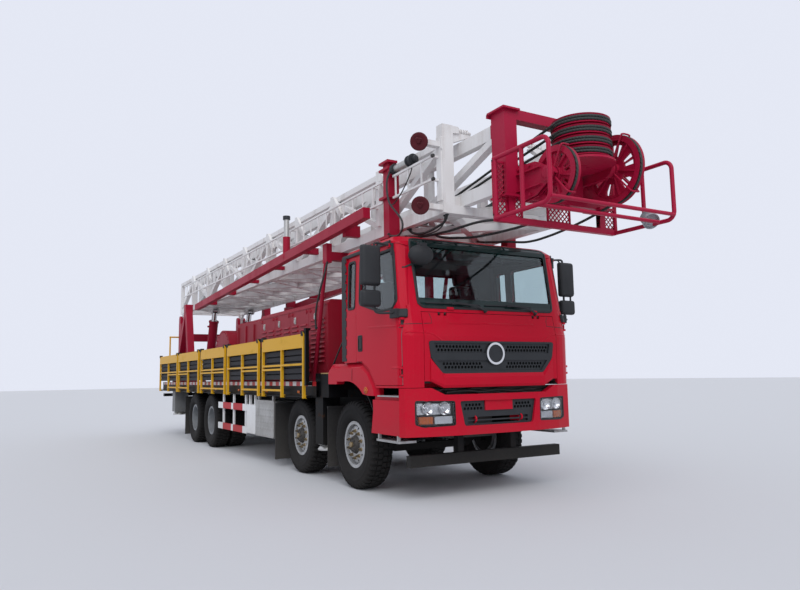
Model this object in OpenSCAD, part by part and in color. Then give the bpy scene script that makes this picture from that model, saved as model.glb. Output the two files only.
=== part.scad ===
/* [Layout] */
// Distance of the first axle ahead of the middle of the rig
axle_1_x = 4170; // [4000:10:4300]
// Distance from the first axle back to the second
axle_2_back = 1800; // [1750:10:1900]
// Distance from the first axle back to the third
axle_3_back = 6600; // [6500:10:6700]
// Distance from the third axle back to the fourth
bogie_gap = 1400; // [1350:10:1450]

/* [Wheels] */
// Outer diameter of a tyre
tyre_d = 1100; // [1060:10:1120]
// Width of a tyre
tyre_w = 315; // [290:5:325]
// Diameter of the rim's bead seat
seat_d = 524; // [510:1:530]
// Height of the rim's flange above the bead seat
flange_h = 30; // [20:1:35]
// Width of the rim between its flanges
rim_w = 220; // [200:5:230]
// Distance from the middle of the truck to a front wheel's centre
front_track = 1018; // [1000:1:1030]
// Distance from the middle of the truck to an inner twin wheel's centre
twin_inner = 755; // [740:1:770]
// Distance between the centres of two twin wheels
twin_gap = 350; // [345:1:370]
// Distance from the middle of the truck to a kingpin
kingpin_y = 820; // [800:1:830]
// Diameter of a kingpin
kingpin_d = 50; // [40:1:56]
// Diameter of a front wheel spindle
spindle_d = 80; // [70:1:90]
// Diameter of a rear wheel spindle
rear_spindle_d = 120; // [110:1:130]
// Running clearance round a pin, on the radius
pin_gap = 0.05; // [0.02:0.01:0.1]

/* [Chassis] */
// Height of the top of the frame rails
rail_top = 1100; // [1090:5:1110]
// Depth of a frame rail
rail_h = 300; // [280:5:310]
// Width of a frame rail's flanges
rail_w = 80; // [70:5:90]
// Thickness of a frame rail's metal
rail_t = 8; // [6:1:12]
// Distance from the middle to a rail's outer face
rail_y = 430; // [425:1:440]
// Distance from the first axle to the front of the rails
rail_front = 1280; // [1240:10:1290]
// Height of the top of the deck
deck_top = 1350; // [1345:1:1360]
// Width of the deck
deck_w = 2500; // [2460:10:2500]
// Depth of the deck's edge beam
edge_h = 220; // [200:5:225]
// Thickness of the deck's floor plate
floor_t = 15; // [10:1:20]
// Distance from the first axle back to the deck's front
deck_front = 970; // [960:5:990]
// Distance from the first axle back to the deck's rear
deck_rear = 11600; // [11550:10:11620]
// Distance from the first axle back to the rear step
step_rear = 11800; // [11750:10:11800]

/* [Cab] */
// Distance from the first axle back to the cab's rear wall
cab_rear = 100; // [60:5:120]
// Distance from the first axle to the cab's front face
cab_front = 1470; // [1450:5:1480]
// Width of the cab
cab_w = 2490; // [2470:5:2500]
// Height of the cab's underside
cab_floor = 1270; // [1265:1:1280]
// Height of the wheel arch under the cab
arch_z = 1580; // [1570:5:1590]
// Height of the foot of the windscreen
sill_z = 2200; // [2190:5:2210]
// Height of the cab's roof
roof_z = 3030; // [3000:5:3050]
// Thickness of the cab's walls and doors
wall = 50; // [45:1:55]
// Thickness of the window glass
glass_t = 6; // [5:1:8]
// Gap round the doors and the front flap
door_gap = 6; // [5:1:8]

/* [Mast] */
// Height of the mast's hinge
hinge_z = 3050; // [3040:5:3060]
// Distance from the first axle back to the mast's hinge
hinge_back = 11300; // [11280:5:11320]
// Diameter of a mast hinge pin
hinge_d = 80; // [70:1:90]
// Height of the underside of the lower section
mast_z = 3210; // [3200:5:3220]
// Height of the top of both sections
mast_top = 4070; // [4050:5:4090]
// Width of the lower section
lower_w = 1700; // [1680:5:1720]
// Width of the upper section
upper_w = 1200; // [1180:5:1220]
// Depth of the lower section's bottom chord
chord_h = 140; // [120:5:150]
// Width of every chord and brace of the side frames
chord_w = 90; // [80:5:95]
// Distance from the first axle back to the lower section's rear end
lower_rear = 11500; // [11480:5:11520]
// Distance from the first axle to the lower section's front end
lower_front = 1760; // [1740:5:1780]
// Distance from the first axle back to the upper section's rear end
upper_rear = 10500; // [10450:10:10600]
// Distance from the first axle to the upper section's front end
upper_front = 2460; // [2440:5:2470]
// Bays in the lower section
lower_bays = 9; // [8:1:10]
// Bays in the upper section
upper_bays = 9; // [8:1:10]

/* [Crown] */
// Distance from the first axle to the guard's front rail
guard_front = 3460; // [3440:5:3480]
// Height of the crown platform's underside
platform_z = 2930; // [2920:5:2940]
// Diameter of the near guide sheave
guide_d = 570; // [550:5:580]
// Diameter of the far fast-line sheave
fast_d = 740; // [720:5:750]
// Diameter of the crown block's own sheaves
block_d = 600; // [580:5:610]
// Number of the crown block's own sheaves
block_n = 4; // [3:1:5]

/* [Walkways] */
// Height of the walkway hinge
walk_z = 1130; // [1125:1:1140]
// Distance of the walkway hinge outside the deck's edge
walk_out = 50; // [45:1:60]
// Height of the top of the folded walkways
walk_top = 2030; // [2000:5:2040]
// Diameter of the walkway hinge rod
walk_rod_d = 24; // [20:1:28]
// Width of the walkway frame tubes
walk_tube = 40; // [30:1:45]

/* [Hidden] */
$fn = 48;
seat = 0.3;
tyre_r = tyre_d / 2;
axle_x = [0, -axle_2_back, -axle_3_back, -axle_3_back - bogie_gap];
rail_z = rail_top - rail_h;
deck_y = deck_w / 2;
walk_y = deck_y + walk_out;
deck_under = deck_top - edge_h;
cab_y = cab_w / 2;
RIGHT = 1;
LEFT = 0;

// A box between two corners
module block(x0, x1, y0, y1, z0, z1) {
    translate([x0, y0, z0]) cube([x1 - x0, y1 - y0, z1 - z0]);
}

// Extrudes an outline drawn in X and Z from y0 to y1
module across(y0, y1) {
    translate([0, y1, 0]) rotate([90, 0, 0]) linear_extrude(y1 - y0) children();
}

// Extrudes an outline drawn in Y and Z from x0 to x1
module along(x0, x1) {
    translate([x0, 0, 0]) rotate([90, 0, 90]) linear_extrude(x1 - x0) children();
}

// Extrudes an outline drawn in X and Y from z0 to z1
module upward(z0, z1) {
    translate([0, 0, z0]) linear_extrude(z1 - z0) children();
}

// Draws a piece on the left and its mirror image on the right
module both() {
    children();
    mirror([0, 1, 0]) children();
}

// Turns what is drawn for the left side to the side asked for
module on_side(side) {
    mirror([0, side, 0]) children();
}

// A round bar between two points
module rod(a, b, d) {
    v = b - a;
    l = norm(v);
    translate(a) rotate([0, acos(v.z / l), atan2(v.y, v.x)]) cylinder(d = d, h = l);
}

// A square bar between two points of an X and Z plane, from y0 to y1
module strut(a, b, w, y0, y1) {
    v = b - a;
    across(y0, y1) translate(a) rotate(atan2(v.y, v.x)) translate([0, -w / 2]) square([norm(v), w]);
}

// A cylinder along Y
module wheel_y(d, x, z, y0, y1) {
    translate([x, y0, z]) rotate([-90, 0, 0]) cylinder(d = d, h = y1 - y0);
}

// A cylinder along X
module wheel_x(d, y, z, x0, x1) {
    translate([x0, y, z]) rotate([0, 90, 0]) cylinder(d = d, h = x1 - x0);
}

// An outline with every corner softened over r on both sides of it
function unit(v) = v / norm(v);
function soft_corner(a, v, b, r) =
    let (p = v + r * unit(a - v), q = v + r * unit(b - v))
    [for (t = [0 : 0.25 : 1]) (1 - t) * (1 - t) * p + 2 * t * (1 - t) * v + t * t * q];
function soft(pts, r) =
    let (n = len(pts))
    [for (i = [0 : n - 1]) each soft_corner(pts[(i + n - 1) % n], pts[i], pts[(i + 1) % n], r)];

// A lattice frame seen flat: two chords, posts between the bays and one brace in each bay
module lattice(length, height, low, high, post, brace, bays) {
    bay = (length - post) / bays;
    difference() {
        square([length, height]);
        for (i = [0 : bays - 1])
            translate([post + i * bay, low]) lattice_hole(bay - post, height - low - high, brace, i % 2);
    }
}
module lattice_hole(w, h, brace, flip) {
    difference() {
        square([w, h]);
        translate([0, flip == 1 ? h : 0])
            rotate((flip == 1 ? -1 : 1) * atan2(h, w))
            translate([-brace, -brace / 2]) square([norm([w, h]) + 2 * brace, brace]);
    }
}

// A leaf spring pack seen from the side, its middle low and its ends high
module leaf_pack(half, rise, thick) {
    steps = [-1 : 0.25 : 1];
    polygon(concat(
        [for (s = steps) [s * half, rise * s * s + thick * (1 - 0.7 * abs(s))]],
        [for (s = steps) [-s * half, rise * s * s]]));
}

// Frame
rail_xs = [-11450, -10200, -8700, -7300, -5900, -4400, -2600, -1000];
cross_w = 60;
bar_y = 1100;
bar_front = 1320;
bar_z = [387, 515];
module frame_rails() {
    color("dimgray") {
        both() along(-step_rear + 300, rail_front) difference() {
            translate([rail_y - rail_w, rail_z]) square([rail_w, rail_h]);
            translate([rail_y - rail_w - 1, rail_z + rail_t]) square([rail_w - rail_t + 1, rail_h - 2 * rail_t]);
        }
        for (x = rail_xs)
            block(x, x + cross_w, -rail_y + rail_t, rail_y - rail_t, rail_z + 50, rail_top - 50);
        block(bar_front - 90, bar_front, -bar_y, bar_y, bar_z[0], bar_z[1]);
        both() {
            block(1200, 1280, rail_y - rail_w, rail_y, bar_z[1], rail_z);
            block(1150, 1250, rail_y - rail_w, rail_y, rail_top, cab_floor);
            block(-80, 0, rail_y - rail_w, rail_y, rail_top, arch_z);
        }
    }
}

// Front axles
axle_z = tyre_r;
eye_h = 70;
eye_r = 44;
ear_t = 30;
ear_gap = 5;
pin_h = eye_h + 2 * (ear_t + ear_gap);
spring_y = rail_y - rail_w / 2;
module front_axles() {
    color("dimgray") for (x = [axle_x[0], axle_x[1]]) translate([x, 0, 0]) {
        along(-45, 45) polygon([
            [-kingpin_y, axle_z + eye_h / 2], [-700, axle_z + eye_h / 2], [-560, axle_z - 30],
            [560, axle_z - 30], [700, axle_z + eye_h / 2], [kingpin_y, axle_z + eye_h / 2],
            [kingpin_y, axle_z - eye_h / 2], [700, axle_z - eye_h / 2 - 5], [580, axle_z - 120],
            [-580, axle_z - 120], [-700, axle_z - eye_h / 2 - 5], [-kingpin_y, axle_z - eye_h / 2]]);
        both() {
            translate([0, kingpin_y, axle_z - eye_h / 2]) cylinder(r = eye_r, h = eye_h);
            translate([0, kingpin_y, axle_z - pin_h / 2]) cylinder(d = kingpin_d, h = pin_h);
            block(-70, 70, spring_y - 40, spring_y + 40, axle_z - 40, axle_z + 20);
            across(spring_y - 40, spring_y + 40) translate([0, axle_z]) leaf_pack(740, 170, 90);
            for (s = [-1, 1]) block(s * 720 - 40, s * 720 + 40, spring_y - 40, spring_y + 40, axle_z + 160, rail_z);
        }
    }
}

// Drive axles
drum_face = 600;
module drive_axles() {
    mid = (axle_x[2] + axle_x[3]) / 2;
    color("dimgray") {
        for (x = [axle_x[2], axle_x[3]]) {
            wheel_y(rear_spindle_d, x, axle_z, -1080, 1080);
            wheel_y(160, x, axle_z, -drum_face + 8, drum_face - 8);
            wheel_x(440, 0, axle_z, x - 130, x + 170);
            both() {
                wheel_y(400, x, axle_z, drum_face - 18, drum_face - 10);
                block(x - 70, x + 70, spring_y - 40, spring_y + 40, axle_z, axle_z + 155);
            }
        }
        wheel_x(110, 0, axle_z + 100, axle_x[2] + 100, -900);
        wheel_x(110, 0, axle_z + 60, axle_x[3] + 100, axle_x[2] - 100);
        both() {
            across(spring_y - 40, spring_y + 40) translate([mid, rail_z - 10]) mirror([0, 1])
                leaf_pack(bogie_gap / 2 + 60, 60, 130);
            block(mid - 110, mid + 110, spring_y - 40, spring_y + 40, axle_z - 60, rail_z);
        }
    }
}

// Knuckle of a front wheel, drawn for the left side
backing_y = 872;
module knuckle(x, side) {
    color("dimgray") on_side(side) translate([x, 0, 0]) difference() {
        union() {
            for (s = [-1, 1]) translate([0, 0, axle_z + s * (eye_h / 2 + ear_gap + ear_t / 2)]) {
                translate([0, kingpin_y, -ear_t / 2]) cylinder(r = eye_r, h = ear_t);
                block(-40, 40, kingpin_y, backing_y + 2, -ear_t / 2, ear_t / 2);
            }
            wheel_y(400, 0, axle_z, backing_y, backing_y + 8);
            wheel_y(spindle_d, 0, axle_z, backing_y, front_track + 80);
        }
        translate([0, kingpin_y, axle_z - pin_h]) cylinder(d = kingpin_d + 2 * pin_gap, h = 2 * pin_h);
    }
}

// One tyre, its centre at y, seen as a ring with a flat tread and bulged walls
module tyre_ring(y) {
    r0 = seat_d / 2 + seat;
    w = tyre_w / 2;
    bead = rim_w / 2 - seat;
    profile = [
        [r0, -bead], [r0 + flange_h + 3, -bead], [r0 + flange_h + 14, -bead - 8], [r0 + 70, -w + 12],
        [r0 + 140, -w], [r0 + 200, -w + 5],
        [tyre_r - 28, -w + 18], [tyre_r - 6, -w + 30], [tyre_r, -w + 60]];
    color("#1c1c1e") translate([0, y, axle_z]) rotate([-90, 0, 0]) rotate_extrude()
        polygon(concat(profile, [for (i = [len(profile) - 1 : -1 : 0]) [profile[i].x, -profile[i].y]]));
}

// Both tyres of a twin wheel
module twin_tyres(x, s) {
    translate([x, 0, 0]) for (y = [twin_inner, twin_inner + twin_gap]) tyre_ring(s * y);
}

// A rim barrel with two flanges, as a half section around Y = 0
barrel_t = 9;
module barrel_section() {
    r = seat_d / 2;
    h = rim_w / 2;
    polygon([
        [r - barrel_t, -h - 10], [r + flange_h, -h - 10], [r + flange_h, -h], [r, -h], [r, h],
        [r + flange_h, h], [r + flange_h, h + 10], [r - barrel_t, h + 10]]);
}

// Front wheel: a barrel, a dished disc with ten hand holes, a hub and its drum
hand_holes = 10;
hub_r = 118;
module front_rim(x, side) {
    bore = spindle_d / 2 + pin_gap;
    r = seat_d / 2 - barrel_t;
    color("silver") on_side(side) translate([x, front_track, axle_z]) rotate([-90, 0, 0]) difference() {
        rotate_extrude() {
            barrel_section();
            polygon([[r + 1, 40], [r + 1, 62], [225, 90], [190, 104], [hub_r - 10, 104], [hub_r - 10, 90],
                [185, 90], [215, 76]]);
            polygon([[bore, -130], [hub_r - 40, -130], [hub_r - 40, -72], [193, -72], [193, -120], [205, -120],
                [205, -60], [hub_r, -60], [hub_r, 104], [92, 150], [0, 158], [0, 88], [bore, 88]]);
        }
        for (i = [0 : hand_holes - 1]) rotate(i * 360 / hand_holes)
            translate([208, 0, 30]) cylinder(r = 17, h = 100);
    }
}

// Twin rear wheels: two barrels whose discs meet on the hub
module twin_rims(x, side) {
    bore = rear_spindle_d / 2 + pin_gap;
    r = seat_d / 2 - barrel_t;
    mate = twin_inner + twin_gap / 2;
    color("lightgray") on_side(side) translate([x, 0, axle_z]) rotate([-90, 0, 0]) difference() {
        rotate_extrude() {
            translate([0, twin_inner]) barrel_section();
            translate([0, twin_inner + twin_gap]) barrel_section();
            polygon([[140, mate - 14], [178, mate - 14], [r + 1, mate - 105], [r + 1, mate - 85], [190, mate - 2],
                [190, mate + 2], [r + 1, mate + 85], [r + 1, mate + 105], [178, mate + 14], [140, mate + 14]]);
            polygon([[bore, drum_face + 30], [100, drum_face + 30], [100, 713], [193, 713], [193, drum_face + 2],
                [205, drum_face + 2], [205, 725], [150, 725], [150, 1040], [135, 1060], [95, 1065], [90, 1110],
                [0, 1115], [0, 1082], [bore, 1082]]);
        }
        for (i = [0 : hand_holes - 1]) rotate(i * 360 / hand_holes)
            translate([222, 0, mate - 120]) cylinder(r = 14, h = 240);
    }
}

// Truck engine and gearbox, plain
module truck_engine() {
    color("gray") {
        block(-250, 950, -330, 330, 640, 1230);
        block(-900, -250, -200, 200, 520, 880);
        both() for (x = [-230, 750]) block(x, x + 120, 330, 410, rail_top, rail_top + 30);
    }
}

// Lockers, tank and guard rails between the axles
guard_rows = [[430, 550], [830, 950]];
module hung_box(x0, x1, z0, z1) {
    across(deck_y - 450, deck_y) polygon(soft([[x0, z0], [x1, z0], [x1, z1], [x0, z1]], 40));
    for (x = [x0 + 80, x1 - 130]) block(x, x + 50, deck_y - 60, deck_y - 20, z1 - 5, deck_under);
}
module side_gear() {
    color("silver") {
        mirror([0, 1, 0]) {
            hung_box(-3630, -2710, 440, 1040);
            hung_box(-4140, -3635, 450, 950);
        }
        hung_box(-4140, -2710, 440, 1040);
    }
    color("white") both() {
        for (row = guard_rows) block(-6000, -4145, deck_y - 30, deck_y, row[0], row[1]);
        for (x = [-5780, -5080, -4330]) block(x, x + 60, deck_y - 60, deck_y - 30, guard_rows[0][0], deck_under);
    }
}

// Mud flaps on arms from the rails
flap_rows = [[-720, 870, deck_y - 60, 200], [-2660, 870, deck_y - 10, 120], [-8930, 620, deck_y - 10, 120]];
module mudguards() {
    color("#222222") both() for (f = flap_rows) {
        block(f[0] - 15, f[0] + 15, rail_y, f[2], 980, 1010);
        block(f[0] - 5, f[0] + 5, f[1], f[2], f[3], 985);
    }
}

// Walkway panels: front end, rear end, and which halves have a lower frame
panels = [[-1190, -3020, 0], [-3200, -5080, 1], [-5240, -7120, 2], [-7320, -9320, 0], [-9450, -11600, 1]];

// Jacks: place along the truck, half width of the housing, underside, top, wall
front_jack = [-980, 130, 480, 1460];
rear_jack = [-10300, 160, 600, 1340];
jack_y = 1070;
jack_wall = 30;
slide_gap = 0.3;

// Deck with its beams, jack housings, rear step and rear rail
module deck_frame() {
    block(-deck_rear, -deck_front, -deck_y, deck_y, deck_top - floor_t, deck_top);
    both() {
        block(-deck_rear, -deck_front, deck_y - rail_t, deck_y, deck_under, deck_top - floor_t);
        block(-deck_rear, -deck_front, deck_y - 80, deck_y - rail_t, deck_under, deck_under + rail_t);
        block(-deck_rear, -deck_front, rail_y - rail_w, rail_y, rail_top, deck_top - floor_t);
    }
    for (i = [0 : 12]) {
        x = -deck_front - 60 - i * (deck_rear - deck_front - 120) / 12;
        block(x - 30, x + 30, -deck_y + rail_t, deck_y - rail_t, deck_top - 130, deck_top - floor_t);
    }
    both() {
        for (j = [front_jack, rear_jack])
            block(j[0] - j[1], j[0] + j[1], jack_y - j[1], jack_y + j[1], j[2], j[3]);
        block(-850, -600, 940, cab_y - 20, 1130, 1460);
        // Post that the first walkway is tied to
        block(-1160, -1100, deck_y - 1, walk_y + 50, deck_top - 60, deck_top - 5);
        block(-1160, -1110, walk_y, walk_y + 50, deck_top - 60, walk_top + 60);
        block(-1176, -1100, walk_y - 20, walk_y + 55, walk_top + 40, walk_top + 75);
        block(-11640, -11540, 480, 580, 960, deck_top - floor_t + 1);
        rod([-11560, 600, deck_top - 5], [-11560, 600, 2600], walk_tube);
        rod([-11560, 1100, deck_top - 5], [-11560, 1100, 2600], walk_tube);
        for (z = [1950, 2580]) rod([-11560, 580, z], [-11560, 1120, z], walk_tube);
    }
    block(-step_rear, -11640, -1200, 1200, 960, 1040);
}
module walk_hinge() {
    x0 = panels[len(panels) - 1][1] - 30;
    wheel_x(walk_rod_d, walk_y, walk_z, x0, panels[0][0] + 30);
    gaps = concat([panels[0][0] + 20], [for (i = [1 : len(panels) - 1]) (panels[i][0] + panels[i - 1][1]) / 2], [x0 + 10]);
    for (x = gaps) block(x - 10, x + 10, deck_y, walk_y + 16, walk_z - 16, walk_z + 20);
}
module deck() {
    color("#2a2a2c") difference() {
        union() {
            deck_frame();
            both() walk_hinge();
        }
        both() for (j = [front_jack, rear_jack]) {
            h = j[1] - jack_wall;
            block(j[0] - h, j[0] + h, jack_y - h, jack_y + h, j[2] - 1, j[3] - 15);
        }
    }
}

// A jack leg with its foot, drawn for the left side
module jack(j, side) {
    h = j[1] - jack_wall - slide_gap;
    color("silver") on_side(side) {
        block(j[0] - h, j[0] + h, jack_y - h, jack_y + h, j[2] - 10, j[3] - 20);
        translate([j[0], jack_y, j[2] - 60]) cylinder(r1 = j[1] + 10, r2 = h, h = 50);
        translate([j[0], jack_y, j[2] - 80]) cylinder(r = j[1] + 10, h = 20);
    }
}

// Cab form as two hulls between flat sections: height, front, how far the front corner sweeps back, half width
cab_low = [[cab_floor, cab_front - 10, 150, cab_y], [1850, cab_front, 150, cab_y],
    [sill_z, 1400, 140, cab_y]];
cab_high = [[sill_z, 1392, 140, cab_y], [2960, 1262, 120, cab_y - 25], [roof_z, 1180, 110, cab_y - 90]];
corner_y = 280;
function cab_section(s, t) = let (
        f = s[1] - t, d = s[2], y = s[3] - t,
        arc = [for (a = [0 : 15 : 90]) [f - d + d * cos(a), y - corner_y + corner_y * sin(a)]])
    concat(arc, [[-cab_rear + t + 40, y], [-cab_rear + t, y - 40]],
        [[-cab_rear + t, -y + 40], [-cab_rear + t + 40, -y]],
        [for (i = [len(arc) - 1 : -1 : 0]) [arc[i].x, -arc[i].y]]);
module cab_slab(s, t, dz) {
    upward(s[0] + dz, s[0] + dz + 1) polygon(cab_section(s, t));
}
module cab_form(t) {
    last = len(cab_high) - 1;
    hull() for (i = [0 : len(cab_low) - 1]) cab_slab(cab_low[i], t, i == 0 ? t : 0);
    hull() for (i = [0 : last]) cab_slab(cab_high[i], t, i == last ? -t - 1 : 0);
}

// Lower edge of the cab side, over the front wheel
arch_line = [[430, arch_z], [620, 1480], [760, 1330], [800, cab_floor]];
module arch_cut() {
    polygon(concat([[-1000, 1000], [-1000, arch_z]], arch_line, [[800, 1000]]));
}

// Door outline, grown by g, and its window
hinge_x = 1356;
hinge_y = 1229;
door_x = [290, 1374];
function door_outline(g) = [
    [door_x[0] - g, 1590 - g], [440, 1590 - g], [630, 1490 - g], [772, 1335 - g], [800, 1300 - g],
    [door_x[1] + g, 1300 - g], [door_x[1] + g, 2130], [1255 + g, 2900 + g], [1215, 2930 + g],
    [door_x[0] - g, 2930 + g]];
door_window = soft([[380, 2300], [380, 2862], [1195, 2862], [1290, 2240], [1215, 2165], [900, 2165]], 45);
quarter_window = soft([[60, 2260], [60, 2860], [250, 2860], [250, 2260]], 40);
screen = soft([[-1012, 2262], [1012, 2262], [1035, 2930], [-1035, 2930]], 70);
rear_window = soft([[-700, 2330], [700, 2330], [700, 2800], [-700, 2800]], 60);
hinge_zs = [1450, 2000];
pin_d = 10;
module windows() {
    along(1100, 1500) polygon(screen);
    both() across(1000, 1300) polygon(quarter_window);
    along(-200, 100) polygon(rear_window);
}
firewall_x = 1340;
flap_y = 980;
flap_z = [1262, 2120];
flap_t = 40;
flap_pin = [1408, 2112];
flap_hinge_ys = [-700, 700];
strip = [12, 118, 1600, 2940];
front_mirror = [1345, -920, 2800];
module cab_shell() {
    color("crimson") {
        difference() {
            cab_form(0);
            difference() {
                cab_form(wall);
                block(firewall_x, 1600, -2000, 2000, 0, sill_z - 60);
            }
            windows();
            both() across(cab_y - 200, cab_y + 50) polygon(door_outline(door_gap));
            across(-2000, 2000) arch_cut();
            difference() {
                block(1300, 1600, -flap_y - door_gap, flap_y + door_gap, 1000, flap_z[1] + door_gap);
                cab_form(flap_t + door_gap);
            }
        }
        // Ribbed strip down each rear corner
        both() difference() {
            block(-cab_rear - strip[0], -cab_rear + strip[1], cab_y - 70, cab_y + 6, strip[2], strip[3]);
            for (z = [strip[2] + 40 : 120 : strip[3] - 40])
                block(-cab_rear + strip[1] - 25, -cab_rear + strip[1] + 1, cab_y - 10, cab_y + 7, z, z + 40);
        }
        // Front mirror over the right corner of the windscreen
        translate(front_mirror) rotate([0, 65, 0]) cylinder(d1 = 250, d2 = 170, h = 80);
        rod(front_mirror + [20, 0, 40], [1262, front_mirror.y, 2950], 34);
        // Floor over the wheel arch
        across(-cab_y + wall, cab_y - wall) polygon([[-cab_rear + 2, arch_z], [430, arch_z], [620, 1480],
            [760, 1330], [800, cab_floor], [800, cab_floor + 50], [800, 1380], [650, 1530], [450, arch_z + 50],
            [-cab_rear + 2, arch_z + 50]]);
        both() for (z = hinge_zs) {
            translate([hinge_x, hinge_y, z - 50]) cylinder(d = pin_d, h = 100);
            for (s = [-1, 1]) block(hinge_x - 6, door_x[1] + 12, hinge_y - 45, hinge_y + 2, z + s * 42 - 12, z + s * 42 + 12);
        }
        for (y = flap_hinge_ys) {
            wheel_y(pin_d, flap_pin.x, flap_pin.y, y - 50, y + 50);
            for (s = [-1, 1]) block(flap_pin.x - 12, flap_pin.x + 2, y + s * 42 - 12, y + s * 42 + 12, flap_pin.y - 6,
                flap_pin.y + 40);
        }
    }
}

// A piece of the cab's wall between two depths
module cab_skin(t0, t1) {
    difference() {
        cab_form(t0);
        cab_form(t1);
    }
}
module floor_lip(t) {
    upward(cab_floor - 1, cab_floor + t + 1) polygon(cab_section(cab_low[0], t));
}
module door(side) {
    color("crimson") on_side(side) {
        difference() {
            intersection() {
                cab_skin(0, wall);
                across(cab_y - 200, cab_y + 50) polygon(door_outline(0));
            }
            floor_lip(wall);
            across(1000, 1300) polygon(door_window);
            for (z = hinge_zs) block(hinge_x - 14, 1500, 1000, 1300, z - 62, z + 62);
            across(cab_y - 12, 1300) polygon(soft([[350, 1720], [450, 1720], [450, 1900], [350, 1900]], 15));
        }
        for (z = hinge_zs) difference() {
            union() {
                translate([hinge_x, hinge_y, z - 24]) cylinder(r = 9, h = 48);
                block(hinge_x - 30, hinge_x, hinge_y - 9, hinge_y + 4, z - 24, z + 24);
            }
            translate([hinge_x, hinge_y, z - 30]) cylinder(r = pin_d / 2 + pin_gap, h = 60);
        }
        block(1270, 1330, 1225, 1275, 2085, 2155);
        block(1130, 1190, 1190, 1262, 2885, 2925);
    }
}
module cab_glass() {
    color("#9fc0c8", 0.4) intersection() {
        cab_skin(14, 14 + glass_t);
        windows();
    }
}
module door_glass(side) {
    color("#9fc0c8", 0.4) on_side(side) intersection() {
        cab_skin(20, 20 + glass_t);
        across(1000, 1300) polygon(door_window);
    }
}

// Mirrors on the door: a tall head over a small one on a tube frame
module mirror_head(z0, z1) {
    along(1120, 1205) polygon(soft([[1360, z0], [1620, z0], [1620, z1], [1360, z1]], 35));
}
module mirrors(side) {
    color("#202022") on_side(side) {
        mirror_head(2420, 2900);
        mirror_head(2180, 2380);
        rod([1160, 1440, 2100], [1160, 1440, 2190], 26);
        rod([1160, 1440, 2370], [1160, 1440, 2430], 26);
        rod([1160, 1440, 2890], [1160, 1440, 2917], 26);
        rod([1160, 1262, 2905], [1160, 1453, 2905], 26);
        rod([1300, 1284, 2110], [1160, 1440, 2110], 26);
    }
}

// Front flap with the grille opening
grille = [[-920, 1790], [920, 1790], [890, 1600], [740, 1425], [-740, 1425], [-890, 1600]];
module front_flap() {
    color("crimson") {
        difference() {
            intersection() {
                cab_skin(0, flap_t);
                block(1300, 1600, -flap_y, flap_y, flap_z[0], flap_z[1]);
            }
            floor_lip(flap_t);
            along(1300, 1600) polygon(soft(grille, 40));
            both() along(1300, 1600) polygon([[chin_y[0], 0], [chin_y[0], flap_z[0]], [chin_y[1], chin_end[0].y],
                [cab_y, chin_end[0].y], [cab_y, 0]]);
            for (y = flap_hinge_ys) block(1300, 1600, y - 62, y + 62, flap_pin.y - 26, 2200);
        }
        for (y = flap_hinge_ys) difference() {
            union() {
                wheel_y(18, flap_pin.x, flap_pin.y, y - 24, y + 24);
                block(flap_pin.x - 9, flap_pin.x + 7, y - 24, y + 24, flap_pin.y - 40, flap_pin.y);
            }
            wheel_y(pin_d + 2 * pin_gap, flap_pin.x, flap_pin.y, y - 30, y + 30);
        }
        chin();
    }
    color("#1b1b1d") {
        along(cab_front - 38, cab_front - 12) difference() {
            polygon(grille_frame());
            for (s = [-1, 1]) {
                mesh_holes(s, [190, 830], 1668, 2);
                mesh_holes(s, [190, 740], 1472, 2);
            }
        }
        along(cab_front - 14, cab_front + 6) difference() {
            polygon(grille_frame());
            polygon([[-860, 1770], [860, 1770], [835, 1655], [-835, 1655]]);
            polygon([[-815, 1570], [815, 1570], [715, 1450], [-715, 1450]]);
        }
        wheel_x(250, 0, badge_z, cab_front - 20, cab_front + 12);
    }
    color("silver") along(cab_front + 8, cab_front + 26) translate([0, badge_z]) difference() {
        circle(d = 262);
        circle(d = 212);
    }
}

// Chin below the grille: full depth in the middle, flatter and higher toward its ends
chin_y = [740, 905];
chin_mid = [[cab_front - 30, flap_z[0]], [cab_front + 20, flap_z[0]], [cab_front + 34, 1292], [cab_front + 34, 1378],
    [cab_front + 4, 1425], [cab_front - 30, 1425]];
chin_end = [[cab_front - 30, 1340], [cab_front - 2, 1340], [cab_front + 8, 1365], [cab_front + 8, 1560],
    [cab_front - 2, 1598], [cab_front - 30, 1598]];
module chin() {
    across(-chin_y[0], chin_y[0]) polygon(chin_mid);
    both() hull() {
        across(chin_y[0] - 1, chin_y[0]) polygon(chin_mid);
        across(chin_y[1] - 1, chin_y[1]) polygon(chin_end);
    }
}

// Grille outline, a little larger than its opening so that it is held all round, and its mesh of hexagons
badge_z = 1650;
mesh_pitch = 46;
mesh_hole = 19;
function grille_frame() = soft([for (p = grille) [p.x * 1.008, 1608 + (p.y - 1608) * 1.02]], 40);
module mesh_holes(s, ys, z, rows) {
    for (r = [0 : rows - 1], y = [ys[0] + r * mesh_pitch / 2 : mesh_pitch : ys[1]])
        translate([s * y, z + 20 + r * mesh_pitch * 0.88]) rotate(30) circle(r = mesh_hole, $fn = 6);
}

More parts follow.
